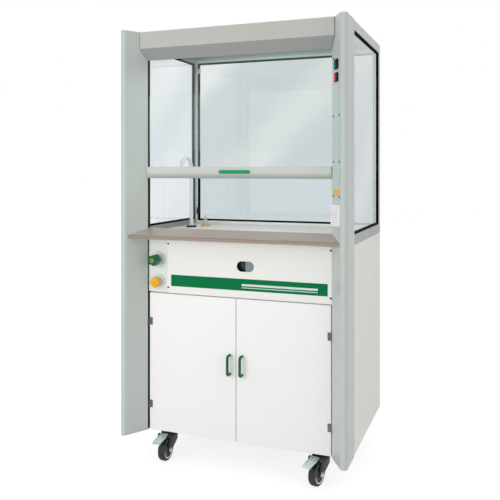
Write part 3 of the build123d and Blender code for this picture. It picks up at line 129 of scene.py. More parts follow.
class Graph:
    """Node tree of a material or of the world, with short ways to add and join nodes."""

    def __init__(self, owner, output="OutputMaterial"):
        self.owner = owner
        owner.use_nodes = True
        self.tree = owner.node_tree
        self.tree.nodes.clear()
        self.out = self.add(output)

    def add(self, kind, **values):
        node = self.tree.nodes.new("ShaderNode" + kind)
        for key, value in values.items():
            setattr(node, key, value)
        return node

    def join(self, source, target):
        self.tree.links.new(source, target)

    def feed(self, socket, value):
        """Joins another socket to this one, or sets this one to a constant."""
        if isinstance(value, bpy.types.NodeSocket):
            self.join(value, socket)
        else:
            socket.default_value = value

    def surface(self, color, roughness, metallic=0.0, **inputs):
        """Principled shader; further inputs are named with _ for a space."""
        shader = self.add("BsdfPrincipled")
        shader.inputs["Base Color"].default_value = (*color, 1)
        shader.inputs["Roughness"].default_value = roughness
        shader.inputs["Metallic"].default_value = metallic
        for key, value in inputs.items():
            shader.inputs[key.replace("_", " ")].default_value = value
        self.join(shader.outputs[0], self.out.inputs["Surface"])
        return shader

    def noise(self, scale, detail=3.0, stretch=(1, 1, 1), rough=0.5):
        """Noise in the object's coordinates: scale is its cycles a metre."""
        where = self.add("TexCoord")
        mapping = self.add("Mapping")
        mapping.inputs["Scale"].default_value = stretch
        self.join(where.outputs["Object"], mapping.inputs["Vector"])
        noise = self.add("TexNoise")
        noise.inputs["Scale"].default_value = scale
        noise.inputs["Detail"].default_value = detail
        noise.inputs["Roughness"].default_value = rough
        self.join(mapping.outputs["Vector"], noise.inputs["Vector"])
        return noise.outputs["Fac"]

    def ramp(self, value, low, high, start=0.3, end=0.7):
        """Runs from low to high as value runs from start to end."""
        ramp = self.add("MapRange")
        ramp.inputs["From Min"].default_value = start
        ramp.inputs["From Max"].default_value = end
        ramp.inputs["To Min"].default_value = low
        ramp.inputs["To Max"].default_value = high
        self.join(value, ramp.inputs["Value"])
        return ramp.outputs["Result"]

    def blend(self, value, first, second):
        """Colour that runs from the first to the second as value runs from 0 to 1."""
        mix = self.add("Mix", data_type="RGBA")
        for number, color in ((MIX_FIRST, first), (MIX_SECOND, second)):
            joined = isinstance(color, bpy.types.NodeSocket)
            self.feed(mix.inputs[number], color if joined else (*color, 1))
        self.join(value, mix.inputs[MIX_FACTOR])
        return mix.outputs[MIX_RESULT]

    def mottle(self, tone, color, spread):
        """Colour that wanders by a share to either side of the one given."""
        return self.blend(tone, shade(color, 1 - spread), shade(color, 1 + spread))

    def bands(self, value, stops):
        """Colour that runs softly through stops of (place from 0 to 1, linear colour)."""
        ramp = self.add("ValToRGB")
        ramp.color_ramp.interpolation = "EASE"
        made = ramp.color_ramp.elements
        for index, (at, color) in enumerate(stops):
            stop = made[index] if index < 2 else made.new(at)
            stop.position = at
            stop.color = (*color, 1)
        self.join(value, ramp.inputs["Fac"])
        return ramp.outputs["Color"]

    def gloss(self, shader, noise, low, high):
        """Roughness that wanders between two values."""
        self.join(self.ramp(noise, low, high), shader.inputs["Roughness"])

    def bump(self, shader, height, depth, edge=0.0):
        """Relief from a height, over edges that are rounded by the radius edge."""
        bump = self.add("Bump")
        bump.inputs["Distance"].default_value = depth
        self.join(height, bump.inputs["Height"])
        if edge:
            soft = self.add("Bevel", samples=BEVEL_SAMPLES)
            soft.inputs["Radius"].default_value = edge
            self.join(soft.outputs[0], bump.inputs["Normal"])
        self.join(bump.outputs[0], shader.inputs["Normal"])

    def math(self, operation, *values):
        node = self.add("Math", operation=operation)
        for socket, value in zip(node.inputs, values):
            self.feed(socket, value)
        return node.outputs[0]

    def along(self, direction):
        """Distance in metres along a direction, from the model's origin."""
        where = self.add("TexCoord")
        dot = self.add("VectorMath", operation="DOT_PRODUCT")
        self.join(where.outputs["Object"], dot.inputs[0])
        dot.inputs[1].default_value = direction
        return dot.outputs["Value"]

    def step(self, value, edge, soft=CRISP):
        """0 below the edge, 1 above it."""
        return self.ramp(value, 0.0, 1.0, edge - soft, edge + soft)

    def in_view(self):
        """1 for rays that show a surface: to the camera, in a mirror or through glass."""
        path = self.add("LightPath")
        shown = self.math("MAXIMUM", path.outputs["Is Camera Ray"], path.outputs["Is Glossy Ray"])
        return self.math("MAXIMUM", shown, path.outputs["Is Transmission Ray"])


def linear(rgb):
    """Photograph colour, 0 to 255, as the linear colour that renders like it."""
    values = [channel / 255 for channel in rgb]
    return tuple(v / 12.92 if v <= 0.04045 else ((v + 0.055) / 1.055) ** 2.4 for v in values)


def shade(color, factor):
    return tuple(min(1.0, channel * factor) for channel in color)


# Finishes

# Noises, in cycles a metre: clouds of tone, unevenness of gloss, dust, and grain
PAINT_CLOUDS, PAINT_GLOSS, PAINT_DUST, PAINT_PEEL = 2.2, 9.0, 55.0, 420.0
BOARD_CLOUDS, BOARD_GLOSS, BOARD_PEBBLE = 3.0, 14.0, 900.0
HINGE_SCRATCH = 60.0
PLASTIC_CLOUDS, PLASTIC_GLOSS, PLASTIC_GRAIN = 40.0, 25.0, 1500.0
RUBBER_DUST, RUBBER_GRAIN = 60.0, 700.0
METAL_CLOUDS, METAL_LINES = 4.0, 9.0
GLASS_WANDER = 2.6

# Relief, in metres: depth of the grain, and radius that worn edges seem to have
PEEL_DEPTH = 0.00004
PEBBLE_DEPTH = 0.00003
GRAIN_DEPTH = 0.00002
RUBBER_DEPTH = 0.00005
PAINT_EDGE = 0.0009
EDGE = 0.0006


def paint(name, rgb, roughness=0.42, variation=0.025, low=None, split=0.0, soft=CRISP):
    """Powder coat: slow variation of tone, orange peel, uneven gloss.

    With low, a photograph colour, it changes to that colour below the height split, for painted
    shade or painted light on the lower part.
    """
    g = Graph(bpy.data.materials.new(name))
    color = linear(rgb)
    shader = g.surface(color, roughness, Coat_Weight=0.12, Coat_Roughness=0.3)
    tone = g.ramp(g.noise(PAINT_CLOUDS, 4.0), 0.0, 1.0)
    coat = g.mottle(tone, color, variation)
    if low:
        below = g.mottle(tone, linear(low), variation)
        coat = g.blend(g.step(g.along(UP), split, soft), below, coat)
    dust = g.ramp(g.noise(PAINT_DUST, 6.0, rough=0.65), 0.0, 0.25, 0.6, 0.85)
    g.join(g.blend(dust, coat, shade(color, 0.93)), shader.inputs["Base Color"])
    g.gloss(shader, g.noise(PAINT_GLOSS), roughness - 0.06, roughness + 0.06)
    g.bump(shader, g.noise(PAINT_PEEL, 2.0), PEEL_DEPTH, PAINT_EDGE)
    return g.owner


def board_surface(g, shader, roughness):
    """Very fine pebble and slightly uneven gloss of a laminate."""
    g.gloss(shader, g.noise(BOARD_GLOSS, 4.0), roughness - 0.05, roughness + 0.05)
    g.bump(shader, g.noise(BOARD_PEBBLE, 2.0), PEBBLE_DEPTH, EDGE)


def laminate(name, rgb, roughness=0.38, specular=0.5):
    """High-pressure laminate of almost even colour."""
    g = Graph(bpy.data.materials.new(name))
    color = linear(rgb)
    shader = g.surface(color, roughness, Specular_IOR_Level=specular)
    tone = g.ramp(g.noise(BOARD_CLOUDS), 0.0, 1.0)
    g.join(g.blend(tone, shade(color, 0.985), shade(color, 1.01)), shader.inputs["Base Color"])
    board_surface(g, shader, roughness)
    return g.owner


# How far past the door's face and outer edge its hinge halves begin, in millimetres
HINGE_PROUD = 0.4
HINGE_BESIDE = 0.5


def door_finish():
    """White laminate door whose hinge halves are plated metal."""
    g = Graph(bpy.data.materials.new("door_laminate"))
    roughness = 0.38
    board = linear((250, 250, 248))
    shader = g.surface(board, roughness)
    tone = g.ramp(g.noise(BOARD_CLOUDS), 0.0, 1.0)
    white = g.blend(tone, shade(board, 0.985), board)
    scratch = g.ramp(g.noise(HINGE_SCRATCH, 4.0, stretch=(6, 6, 0.4)), 0.0, 1.0)
    plated = g.mottle(scratch, linear((104, 106, 105)), 0.25)
    proud = g.step(g.along(FORWARD), (HINGE_PROUD - DOOR_FACE) * MM)
    beside = g.step(g.math("ABSOLUTE", g.along((1, 0, 0))), (DOOR_HALF + HINGE_BESIDE) * MM)
    mask = g.math("MAXIMUM", proud, beside)
    g.join(g.blend(mask, white, plated), shader.inputs["Base Color"])
    g.join(mask, shader.inputs["Metallic"])
    board_surface(g, shader, roughness)
    return g.owner


def plastic(name, rgb, roughness=0.35, variation=0.04, other=None, axis=UP, edge=0.0, **inputs):
    """Moulded plastic, faintly grained and mottled.

    With other, a photograph colour, it changes to that colour beyond an edge along an axis: a
    second colour of the part, or painted shade and painted light.
    """
    g = Graph(bpy.data.materials.new(name))
    color = linear(rgb)
    shader = g.surface(color, roughness, **inputs)
    body = g.mottle(g.ramp(g.noise(PLASTIC_CLOUDS), 0.0, 1.0), color, variation)
    if other:
        body = g.blend(g.step(g.along(axis), edge), body, linear(other))
    g.join(body, shader.inputs["Base Color"])
    g.gloss(shader, g.noise(PLASTIC_GLOSS), roughness - 0.05, roughness + 0.05)
    g.bump(shader, g.noise(PLASTIC_GRAIN, 2.0), GRAIN_DEPTH, EDGE)
    return g.owner


def rubber(name, rgb, roughness, specular):
    """Dull rubber with dust in its grain."""
    g = Graph(bpy.data.materials.new(name))
    color = linear(rgb)
    shader = g.surface(color, roughness, Specular_IOR_Level=specular)
    dust = g.ramp(g.noise(RUBBER_DUST, 5.0), 0.0, 1.0, 0.45, 0.75)
    g.join(g.blend(dust, color, shade(color, 1.5)), shader.inputs["Base Color"])
    g.bump(shader, g.noise(RUBBER_GRAIN), RUBBER_DEPTH)
    return g.owner


ALONG_X = (1.5, 160.0, 160.0)
EVEN = (1, 1, 1)
LIP_SOFT = 0.002


def brushed(
    name, rgb, roughness, stretch=ALONG_X, variation=0.12, metallic=1.0, lip=None, edge=0.0,
):
    """Brushed metal: fine scratches, long where stretch is small, that shift tone and gloss.

    With lip, a photograph colour, it changes to that colour in front of the edge: painted shade on
    a rounded lip.
    """
    g = Graph(bpy.data.materials.new(name))
    color = linear(rgb)
    shader = g.surface(color, roughness, metallic)
    lines = g.noise(METAL_LINES, 6.0, stretch=stretch, rough=0.7)
    clouds = g.noise(METAL_CLOUDS)
    tone = g.math("ADD", g.ramp(lines, 0.0, 0.6), g.ramp(clouds, 0.0, 0.4))
    body = g.mottle(tone, color, variation)
    if lip:
        body = g.blend(g.step(g.along(FORWARD), edge, LIP_SOFT), body, linear(lip))
    g.join(body, shader.inputs["Base Color"])
    g.gloss(shader, lines, roughness - 0.07, roughness + 0.09)
    g.bump(shader, lines, GRAIN_DEPTH, EDGE)
    return g.owner


LOW_SOFT = 0.03


def glass(name, rgb, bands=(), axis=UP, low=None):
    """Float glass: tinted, with soft slanting bands of painted reflection where the room would show
    in it.

    bands is a list of (distance along the axis in metres, photograph colour), the painted
    reflection; low is a height and the photograph colour below it, an even colour in place of the
    painted reflection there.
    """
    g = Graph(bpy.data.materials.new(name))
    color = linear(rgb)
    shader = g.surface(color, 0.0, IOR=1.45, Transmission_Weight=1.0)
    if bands:
        first, last = bands[0][0], bands[-1][0]
        wander = g.ramp(g.noise(GLASS_WANDER, 2.0), -0.05, 0.05, 0.2, 0.8)
        where = g.ramp(g.math("ADD", g.along(axis), wander), 0.0, 1.0, first, last)
        stops = [((at - first) / (last - first), linear(tint)) for at, tint in bands]
        tinted = g.bands(where, stops)
        if low:
            height, tint = low
            tinted = g.blend(g.step(g.along(UP), height, LOW_SOFT), linear(tint), tinted)
        g.join(tinted, shader.inputs["Base Color"])
    clear = g.add("BsdfTransparent")
    clear.inputs["Color"].default_value = (*color, 1)
    path = g.add("LightPath")
    mix = g.add("MixShader")
    g.join(path.outputs["Is Shadow Ray"], mix.inputs[0])
    g.join(shader.outputs[0], mix.inputs[1])
    g.join(clear.outputs[0], mix.inputs[2])
    g.join(mix.outputs[0], g.out.inputs["Surface"])
    return g.owner


def dress(material, *names):
    """Gives CAD nodes a finish by their material slots."""
    for name in names:
        for slot in NODES[name].material_slots:
            slot.material = material


def finish_housing():
    """Painted steel, laminate boards and the steel sill."""
    frame_paint = paint("frame_paint", (196, 204, 199))
    dress(frame_paint, "left_pilaster", "right_pilaster", "roof_panel")
    dress(paint("cover_paint", (188, 202, 200)), "control_cover_plate")
    # The chamfer below the crease takes a darker grey: painted shade where it faces down.
    header_paint = paint("header_paint", (192, 195, 187), low=(158, 160, 159), split=CREASE * MM)
    dress(header_paint, "header_fascia")
    # The side frames take a darker grey on their lower band: painted shade.
    side_paint = paint("side_paint", (196, 202, 196), low=(160, 163, 164), split=SIDE_SILL * MM)
    dress(side_paint, "left_window_frame", "right_window_frame")
    # The rear frame is paler than the other frames, and near white on its lower band: painted light
    # against the shade inside the hood.
    post_paint = paint("post_paint", (216, 240, 242), low=(252, 252, 246), split=POST_LIGHT_EDGE * MM)
    dress(post_paint, "rear_window_frame")
    dress(paint("panel_paint", (242, 242, 238), 0.4, 0.01), "service_panel")
    dress(paint("strip_paint", (234, 236, 234), 0.4, 0.01), "knob_strip")
    dress(door_finish(), "left_door", "right_door")
    dress(laminate("carcass_laminate", (234, 235, 228)), "base_cabinet", "back_panel")
    dress(laminate("floor_resin", (248, 248, 243), 0.85, 0.1), "work_floor", "drip_cup")
    # The sill's front lip takes a darker colour: painted shade under its rounded nose.
    sill = brushed(
        "sill_steel", (196, 184, 174), 0.42, variation=0.18, metallic=0.5,
        lip=(160, 142, 134), edge=SILL_LIP * MM,
    )
    dress(sill, "sill")


def rocker_finish(name, rgb, shadow):
    """Key whose front half is pressed in and lies in shadow."""
    middle = (SLANT_START.dot(SLANT) + ROCKER_MIDDLE) * MM
    return plastic(name, rgb, other=shadow, axis=SLANT, edge=middle, Specular_IOR_Level=0.15)


def finish_fittings():
    """Seals, guides, controls, outlets and what is fixed with screws."""
    gasket = rubber("gasket_rubber", (14, 14, 16), 0.9, 0.08)
    dress(gasket, "left_window_gasket", "right_window_gasket", "rear_window_gasket")
    # The black guides run the full height: black plastic above the sill, painted shade of the gap
    # beside the cabinet below it.
    dress(plastic("guide_plastic", (26, 26, 28), 0.6), "left_sash_guide", "right_sash_guide")
    black = plastic("black_plastic", (10, 10, 12), 0.5, Specular_IOR_Level=0.12)
    dress(black, "switch_bezels")
    green = plastic("green_plastic", (0, 100, 50), 0.26, Specular_IOR_Level=0.22)
    dress(green, "left_door_handle", "right_door_handle", "water_knob")
    dress(rocker_finish("green_key", (8, 96, 84), (8, 9, 10)), "green_rocker")
    dress(rocker_finish("red_key", (218, 42, 56), (12, 8, 9)), "red_rocker")
    dress(plastic("yellow_plastic", (243, 180, 20), Specular_IOR_Level=0.25), "blank_tile")
    white = plastic("white_plastic", (240, 240, 246), variation=0.01)
    dress(white, "socket_outlet", "socket_rocker", "lamp_unit")
    dress(plastic("disc_plastic", (222, 231, 230), 0.3, variation=0.01), "knob_discs")
    rings = plastic(
        "ring_plastic", (22, 22, 24), 0.5,
        other=(236, 186, 50), axis=(0, 1, 0), edge=RINGS_SPLIT * MM,
    )
    dress(rings, "outlet_flanges")
    # The airflow window is near black in its left half and grey-blue in its right: painted shade
    # and painted light inside its recess.
    indicator = plastic(
        "indicator", (26, 30, 40), 0.2,
        other=(122, 134, 142), axis=(1, 0, 0), edge=WINDOW_X * MM,
    )
    dress(indicator, "airflow_indicator")
    dress(paint("outlet_coating", (243, 248, 247), 0.3, 0.015), "water_outlet")
    dress(plastic("nozzle_plastic", (206, 202, 190), 0.4), "gas_nozzle")
    dress(brushed("screw_steel", (48, 48, 48), 0.45, EVEN), "panel_screws")
    steel = brushed("steel", (112, 114, 114), 0.4)
    dress(steel, "sash_counterweight", "door_hinges", "fan_unit")
    dress(plastic("filter_card", (150, 138, 112), 0.8), "carbon_filter")


# Painted reflections in the panes: bands as glass() takes them, and the axes that they run along
DIAGONAL = (-0.7071, 0.0, 0.7071)
SIDE_DIAGONAL = (0.0, -0.64, 0.77)
REAR_BANDS = [
    (0.70, (203, 212, 216)),
    (0.88, (200, 210, 214)),
    (1.08, (221, 227, 227)),
    (1.26, (206, 214, 217)),
    (1.42, (209, 216, 219)),
    (1.58, (236, 239, 240)),
]
REAR_LOW = (1.30, (205, 214, 217))
RIGHT_BANDS = [
    (0.40, (182, 194, 193)),
    (0.75, (190, 201, 201)),
    (0.95, (216, 222, 224)),
    (1.15, (208, 216, 218)),
    (1.35, (220, 226, 227)),
    (1.60, (226, 230, 230)),
]
LEFT_BANDS = [
    (0.60, (228, 233, 237)),
    (0.95, (236, 240, 243)),
    (1.15, (226, 232, 237)),
    (1.35, (240, 243, 245)),
    (1.60, (236, 240, 243)),
]


def finish_panes():
    """Float glass of the chamber and of the sash."""
    # The chamber's panes carry painted reflections in slanting bands.
    dress(glass("rear_glass", (214, 224, 226), REAR_BANDS, DIAGONAL, REAR_LOW), "rear_pane")
    dress(glass("left_glass", (236, 240, 242), LEFT_BANDS, SIDE_DIAGONAL), "left_pane")
    dress(glass("right_glass", (224, 230, 232), RIGHT_BANDS, SIDE_DIAGONAL), "right_pane")
    dress(glass("front_glass", (250, 252, 251)), "upper_front_pane", "sash_glass")


# Stage

FLOOR_HALF = 12.0
FLOOR_TONE = (0.4, 0.4, 0.4, 1)
FLOOR_GLOW = 0.78
WHITE = (1, 1, 1, 1)
ROOM_LIGHT = 0.72

# Each light's place, target, size in metres and power in watts
LIGHTS = {
    "key": ((-0.9, -3.1, 0.9), (0, 0, 0.8), 2.2, 40),
    "fill": ((3.0, -1.8, 1.6), (0, 0, 0.9), 2.2, 14),
    "hood_lamp": ((0, -0.12, 1.80), (0, 0.02, 1.0), 0.5, 2.6),
}


def new_mesh(name, build):
    """Mesh object from a function that fills a bmesh."""
    bm = bmesh.new()
    build(bm)
    bmesh.ops.recalc_face_normals(bm, faces=bm.faces)
    mesh = bpy.data.meshes.new(name)
    bm.to_mesh(mesh)
    bm.free()
    made = bpy.data.objects.new(name, mesh)
    bpy.context.collection.objects.link(made)
    return made


def rectangle(u, v):
    """Corners of the rectangle between two ranges."""
    return [(u[0], v[0]), (u[1], v[0]), (u[1], v[1]), (u[0], v[1])]


def make_floor():
    """Pale floor, white to the camera but for the hood's own soft shadow."""
    reach = (-FLOOR_HALF, FLOOR_HALF)

    def plane(bm):
        bm.faces.new([bm.verts.new((x, y, 0)) for x, y in rectangle(reach, reach)])

    floor = new_mesh("floor", plane)
    g = Graph(bpy.data.materials.new("floor"))
    diffuse = g.add("BsdfDiffuse")
    diffuse.inputs["Color"].default_value = FLOOR_TONE
    glow = g.add("Emission")
    glow.inputs["Strength"].default_value = FLOOR_GLOW
    both = g.add("AddShader")
    g.join(diffuse.outputs[0], both.inputs[0])
    g.join(glow.outputs[0], both.inputs[1])
    mix = g.add("MixShader")
    g.join(g.in_view(), mix.inputs[0])
    g.join(diffuse.outputs[0], mix.inputs[1])
    g.join(both.outputs[0], mix.inputs[2])
    g.join(mix.outputs[0], g.out.inputs["Surface"])
    floor.data.materials.append(g.owner)


def make_world():
    """White room: full white where it is seen, softer where it lights."""
    world = bpy.data.worlds.new("world")
    bpy.context.scene.world = world
    g = Graph(world, "OutputWorld")
    back = g.add("Background")
    back.inputs["Color"].default_value = WHITE
    g.join(g.ramp(g.in_view(), ROOM_LIGHT, 1.0, 0.0, 1.0), back.inputs["Strength"])
    g.join(back.outputs[0], g.out.inputs["Surface"])


def make_lights():
    """Area lights that are themselves never seen."""
    for name, (at, target, size, energy) in LIGHTS.items():
        light = bpy.data.lights.new(name, "AREA")
        light.size = size
        light.energy = energy
        holder = bpy.data.objects.new(name, light)
        holder.location = at
        direction = Vector(target) - Vector(at)
        holder.rotation_euler = direction.to_track_quat("-Z", "Y").to_euler()
        holder.visible_camera = False
        holder.visible_glossy = False
        holder.visible_transmission = False
        bpy.context.collection.objects.link(holder)


# Print on the service panel, in metres: rules are measured from the stripe's lower edge

STRIPE_X = (-0.302, 0.401)
STRIPE_Z = (0.789, 0.839)
RULES_X = (0.03, 0.36)
RULES_Z = ((0.0195, 0.0285), (0.0110, 0.0140))
STRIPE_LIFT = 0.00015
RULES_LIFT = 0.0003


def make_print(name, patches, lift, material):
    """Upright rectangles, each a range of x and a range of z, just off the service panel."""
    y = PANEL_FACE * MM - lift

    def build(bm):
        for patch in patches:
            bm.faces.new([bm.verts.new((x, y, z)) for x, z in rectangle(*patch)])

    made = new_mesh(name, build)
    made.data.materials.append(material)
    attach(made, "hood")


def make_stripe():
    """Green stripe with two plain rules where the real one carries lettering."""
    vinyl = plastic("stripe_vinyl", (0, 116, 66), 0.5, Specular_IOR_Level=0.12)
    make_print("service_stripe", [(STRIPE_X, STRIPE_Z)], STRIPE_LIFT, vinyl)
    pale = plastic("rule_vinyl", (214, 232, 224), 0.45, variation=0.01)
    foot = STRIPE_Z[0]
    rules = [(RULES_X, (foot + low, foot + high)) for low, high in RULES_Z]
    make_print("stripe_rules", rules, RULES_LIFT, pale)


# Ways to build pieces, in millimetres

SHARP = 35
ON_AXIS = 1e-6
ROUND = 96
CORNER_STEPS = 5
FLAT_SHARE = 0.45


def piece(name, build, material, body, replaced=None, smooth=SHARP):
    """Mesh that rides on a body, with its finish and, if given, the node that it stands for."""
    made = new_mesh(name, build)
    for vertex in made.data.vertices:
        vertex.co = vertex.co * MM
    made.data.shade_smooth()
    made.data.set_sharp_from_angle(angle=radians(smooth))
    made.data.materials.append(material)
    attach(made, body)
    if replaced:
        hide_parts(replaced)


def turns(count):
    """Angles of a full turn in equal steps."""
    return [2 * pi * step / count for step in range(count)]


def circle(middle, radius, count=48):
    u, v = middle
    return [(u + radius * cos(turn), v + radius * sin(turn)) for turn in turns(count)]


def bridge(bm, rings, capped=False):
    """Skin over rings of vertices, closed at both ends if capped; one vertex alone is a tip."""
    for low, high in zip(rings, rings[1:]):
        count = max(len(low), len(high))
        for index in range(count):
            after = (index + 1) % count
            if len(low) == 1:
                corners = (low[0], high[index], high[after])
            elif len(high) == 1:
                corners = (low[index], low[after], high[0])
            else:
                corners = (low[index], low[after], high[after], high[index])
            bm.faces.new(corners)
    if capped:
        bm.faces.new(rings[0][::-1])
        bm.faces.new(rings[-1])


def lathe(bm, outline, matrix, segments=64):
    """Closed turned body: outline is a list of (radius, height) round the Z axis of the matrix."""
    rings = []
    for radius, height in outline:
        if radius < ON_AXIS:
            spots = [(0, 0)]
        else:
            spots = circle((0, 0), radius, segments)
        rings.append([bm.verts.new(matrix @ Vector((u, v, height))) for u, v in spots])
    bridge(bm, rings)


def rounded(points, radius):
    """Outline in a plane with every corner rounded."""
    out = []
    count = len(points)
    for index in range(count):
        here = Vector(points[index])
        back = Vector(points[index - 1]) - here
        ahead = Vector(points[(index + 1) % count]) - here
        reach = min(radius, back.length * FLAT_SHARE, ahead.length * FLAT_SHARE)
        start = here + back.normalized() * reach
        end = here + ahead.normalized() * reach
        for step in range(CORNER_STEPS + 1):
            share = step / CORNER_STEPS
            out.append(start.lerp(here, share).lerp(here.lerp(end, share), share))
    return out


def hull(points):
    """Convex outline round points in a plane."""
    points = sorted(set((round(x, 4), round(y, 4)) for x, y in points))

    def chain(row):
        line = []
        for x, y in row:
            while len(line) > 1:
                (ax, ay), (bx, by) = line[-2:]
                if (bx - ax) * (y - ay) - (by - ay) * (x - ax) > 0:
                    break
                line.pop()
            line.append((x, y))
        return line[:-1]

    return [Vector(point) for point in chain(points) + chain(points[::-1])]


def slab(bm, outline, low, high, place, edge=0.8, steps=3):
    """Plate of a rounded outline whose two rims are rounded; place turns (u, v, w) to a point."""
    middle = sum(outline, Vector((0, 0))) / len(outline)
    inward = []
    for index, point in enumerate(outline):
        ahead = outline[(index + 1) % len(outline)] - outline[index - 1]
        normal = Vector((-ahead.y, ahead.x)).normalized()
        inward.append(normal if normal.dot(middle - point) > 0 else -normal)
    bends = [0.5 * pi * step / steps for step in range(steps + 1)]
    rim = [(edge * (1 - sin(bend)), edge * (1 - cos(bend))) for bend in bends]
    levels = [(shy, low + rise) for shy, rise in rim]
    levels += [(shy, high - rise) for shy, rise in reversed(rim)]
    rings = []
    for shy, level in levels:
        spots = [point + normal * shy for point, normal in zip(outline, inward)]
        rings.append([bm.verts.new(place(spot.x, spot.y, level)) for spot in spots])
    bridge(bm, rings, capped=True)


def upright(place, side=1):
    """Makes slab() stand across the X axis of a matrix, on the side 1 or -1 of it."""
    return lambda u, v, w: place @ Vector((side * w, u, v))


def sideways(place, y, z, side=1):
    """Matrix at (0, y, z) of another whose Z axis points to the side 1 or -1."""
    return place @ Matrix.Translation((0, y, z)) @ Matrix.Rotation(radians(90 * side), 4, "Y")


def on_front(x, y, z):
    """Matrix whose Z axis points out of the hood's front."""
    return Matrix.Translation((x, y, z)) @ FACING


# Casters, each drawn under its own swivel axis and trailing towards -Y

CASTERS = ("front_left", "front_right", "rear_left", "rear_right")
REST_TURNS = {"front_right": -13.0}
SWIVEL_Y = joint_at("front_left_swivel")[1]
_, AXLE_Y, WHEEL_R = joint_at("front_left_roll")
TRAIL = SWIVEL_Y - AXLE_Y
HEAD_BOTTOM = 104.0
HEAD_TOP = 129.7
HEAD = [
    (0.0, HEAD_TOP), (34.0, HEAD_TOP), (37.4, HEAD_TOP - 0.8), (39.0, HEAD_TOP - 3.0),
    (39.0, HEAD_TOP - 8.0), (37.6, HEAD_TOP - 9.2), (37.0, HEAD_TOP - 10.2),
    (37.6, HEAD_TOP - 11.2), (38.6, HEAD_TOP - 12.4), (38.6, HEAD_BOTTOM + 5.0),
    (37.4, HEAD_BOTTOM + 1.6), (34.0, HEAD_BOTTOM), (0.0, HEAD_BOTTOM),
]

# Fork leg: a foot round the axle, a bulge behind it, and a top under the head
LEG = (18.0, 23.0)
LEG_FOOT_R = 17.0
LEG_BULGE = (24.0, 82.0)
LEG_BULGE_R = 12.0
LEG_TOP_HALF = 36.0
LEG_TOP = HEAD_BOTTOM + 9.0
LEG_CORNER = 5.0
LEG_PANEL_INSET = 9.0
LEG_PANEL = (LEG[1] - 0.5, LEG[1] + 0.9)

# Guard over the tyre, its angles in degrees up from level at the rear, and across it a list of
# (x, reach from the axle)
GUARD_START = 62
GUARD_SWEEP = 78
GUARD_STEPS = 24
GUARD_ACROSS = [(-19.0, 53.4), (-14.0, 53.9), (0.0, 54.0), (14.0, 53.9), (19.0, 53.4)]
GUARD_THICK = 2.4

# Turned parts, (radius, distance from the wheel's middle along its axle)
WASHER = [(0, 23.4), (9.0, 23.4), (9.6, 24.2), (9.2, 25.2), (0, 25.4)]
NUT = [(0, 25.2), (7.2, 25.2), (7.4, 26.0), (7.4, 29.4), (6.6, 30.4), (0, 30.6)]
BOLT_END = [(0, 30.4), (3.4, 30.4), (3.4, 32.2), (2.6, 33.0), (0, 33.2)]
TYRE = [
    (37.0, -14.5), (38.5, -15.6), (41.0, -16.0), (44.5, -15.7), (47.0, -14.4),
    (48.6, -12.0), (49.4, -8.5), (49.8, -4.0), (50.0, 0.0), (49.8, 4.0), (49.4, 8.5),
    (48.6, 12.0), (47.0, 14.4), (44.5, 15.7), (41.0, 16.0), (38.5, 15.6), (37.0, 14.5),
    (36.6, 10.0), (36.6, -10.0), (37.0, -14.5),
]
DISC_HALF = [
    (37.2, 0.0), (37.2, 12.6), (36.2, 13.6), (34.6, 13.9), (33.4, 13.2), (32.6, 10.6),
    (31.0, 9.2), (27.5, 8.6), (23.0, 8.4), (19.8, 8.8), (18.0, 10.2), (16.6, 13.6),
    (15.4, 16.6), (14.0, 17.6), (8.0, 17.7), (5.6, 17.7), (5.3, 17.0), (5.3, 0.0),
]
RING_HALF = [
    (31.6, 9.6), (32.6, 13.2), (34.0, 15.0), (36.6, 15.2), (38.4, 15.9), (38.9, 15.2),
    (35.0, 12.6), (32.4, 9.4), (31.6, 9.6),
]


def mirrored(half):
    return [(radius, -reach) for radius, reach in half]


def leg_outline(shrink=0.0):
    """Side of a fork leg, drawn in by a margin."""
    foot = circle((-TRAIL, WHEEL_R), LEG_FOOT_R - shrink)
    bulge = circle(LEG_BULGE, LEG_BULGE_R - shrink)
    corners = []
    for side in (-1, 1):
        reach = side * (LEG_TOP_HALF - shrink - LEG_CORNER)
        corners += circle((reach, LEG_TOP - shrink), LEG_CORNER)
    return hull(foot + bulge + corners)


def add_guard(bm, place):
    """Arched strip over the tyre, from leg to leg."""
    rings = []
    outside = [(x, reach + GUARD_THICK) for x, reach in reversed(GUARD_ACROSS)]
    for step in range(GUARD_STEPS + 1):
        turn = radians(GUARD_START + GUARD_SWEEP * step / GUARD_STEPS)
        ring = []
        for x, reach in GUARD_ACROSS + outside:
            y, z = cos(turn) * reach - TRAIL, sin(turn) * reach + WHEEL_R
            ring.append(bm.verts.new(place @ Vector((x, y, z))))
        rings.append(ring)
    bridge(bm, rings, capped=True)


def make_fork(name, place, nylon, zinc):
    """Head, two legs with a raised panel each, the guard, and the axle's bolt ends."""
    body = name + "_caster"

    def shell(bm):
        for side in (-1, 1):
            slab(bm, leg_outline(), *LEG, upright(place, side), 1.0)
            slab(bm, leg_outline(LEG_PANEL_INSET), *LEG_PANEL, upright(place, side), 0.8)
        lathe(bm, HEAD, place)
        add_guard(bm, place)

    def axle(bm):
        for side in (-1, 1):
            turned = sideways(place, -TRAIL, WHEEL_R, side)
            lathe(bm, WASHER, turned, 40)
            lathe(bm, NUT, turned, 6)
            lathe(bm, BOLT_END, turned, 24)

    piece(name + "_fork_shell", shell, nylon, body, name + "_fork")
    piece(name + "_axle_bolt", axle, zinc, body, smooth=25)


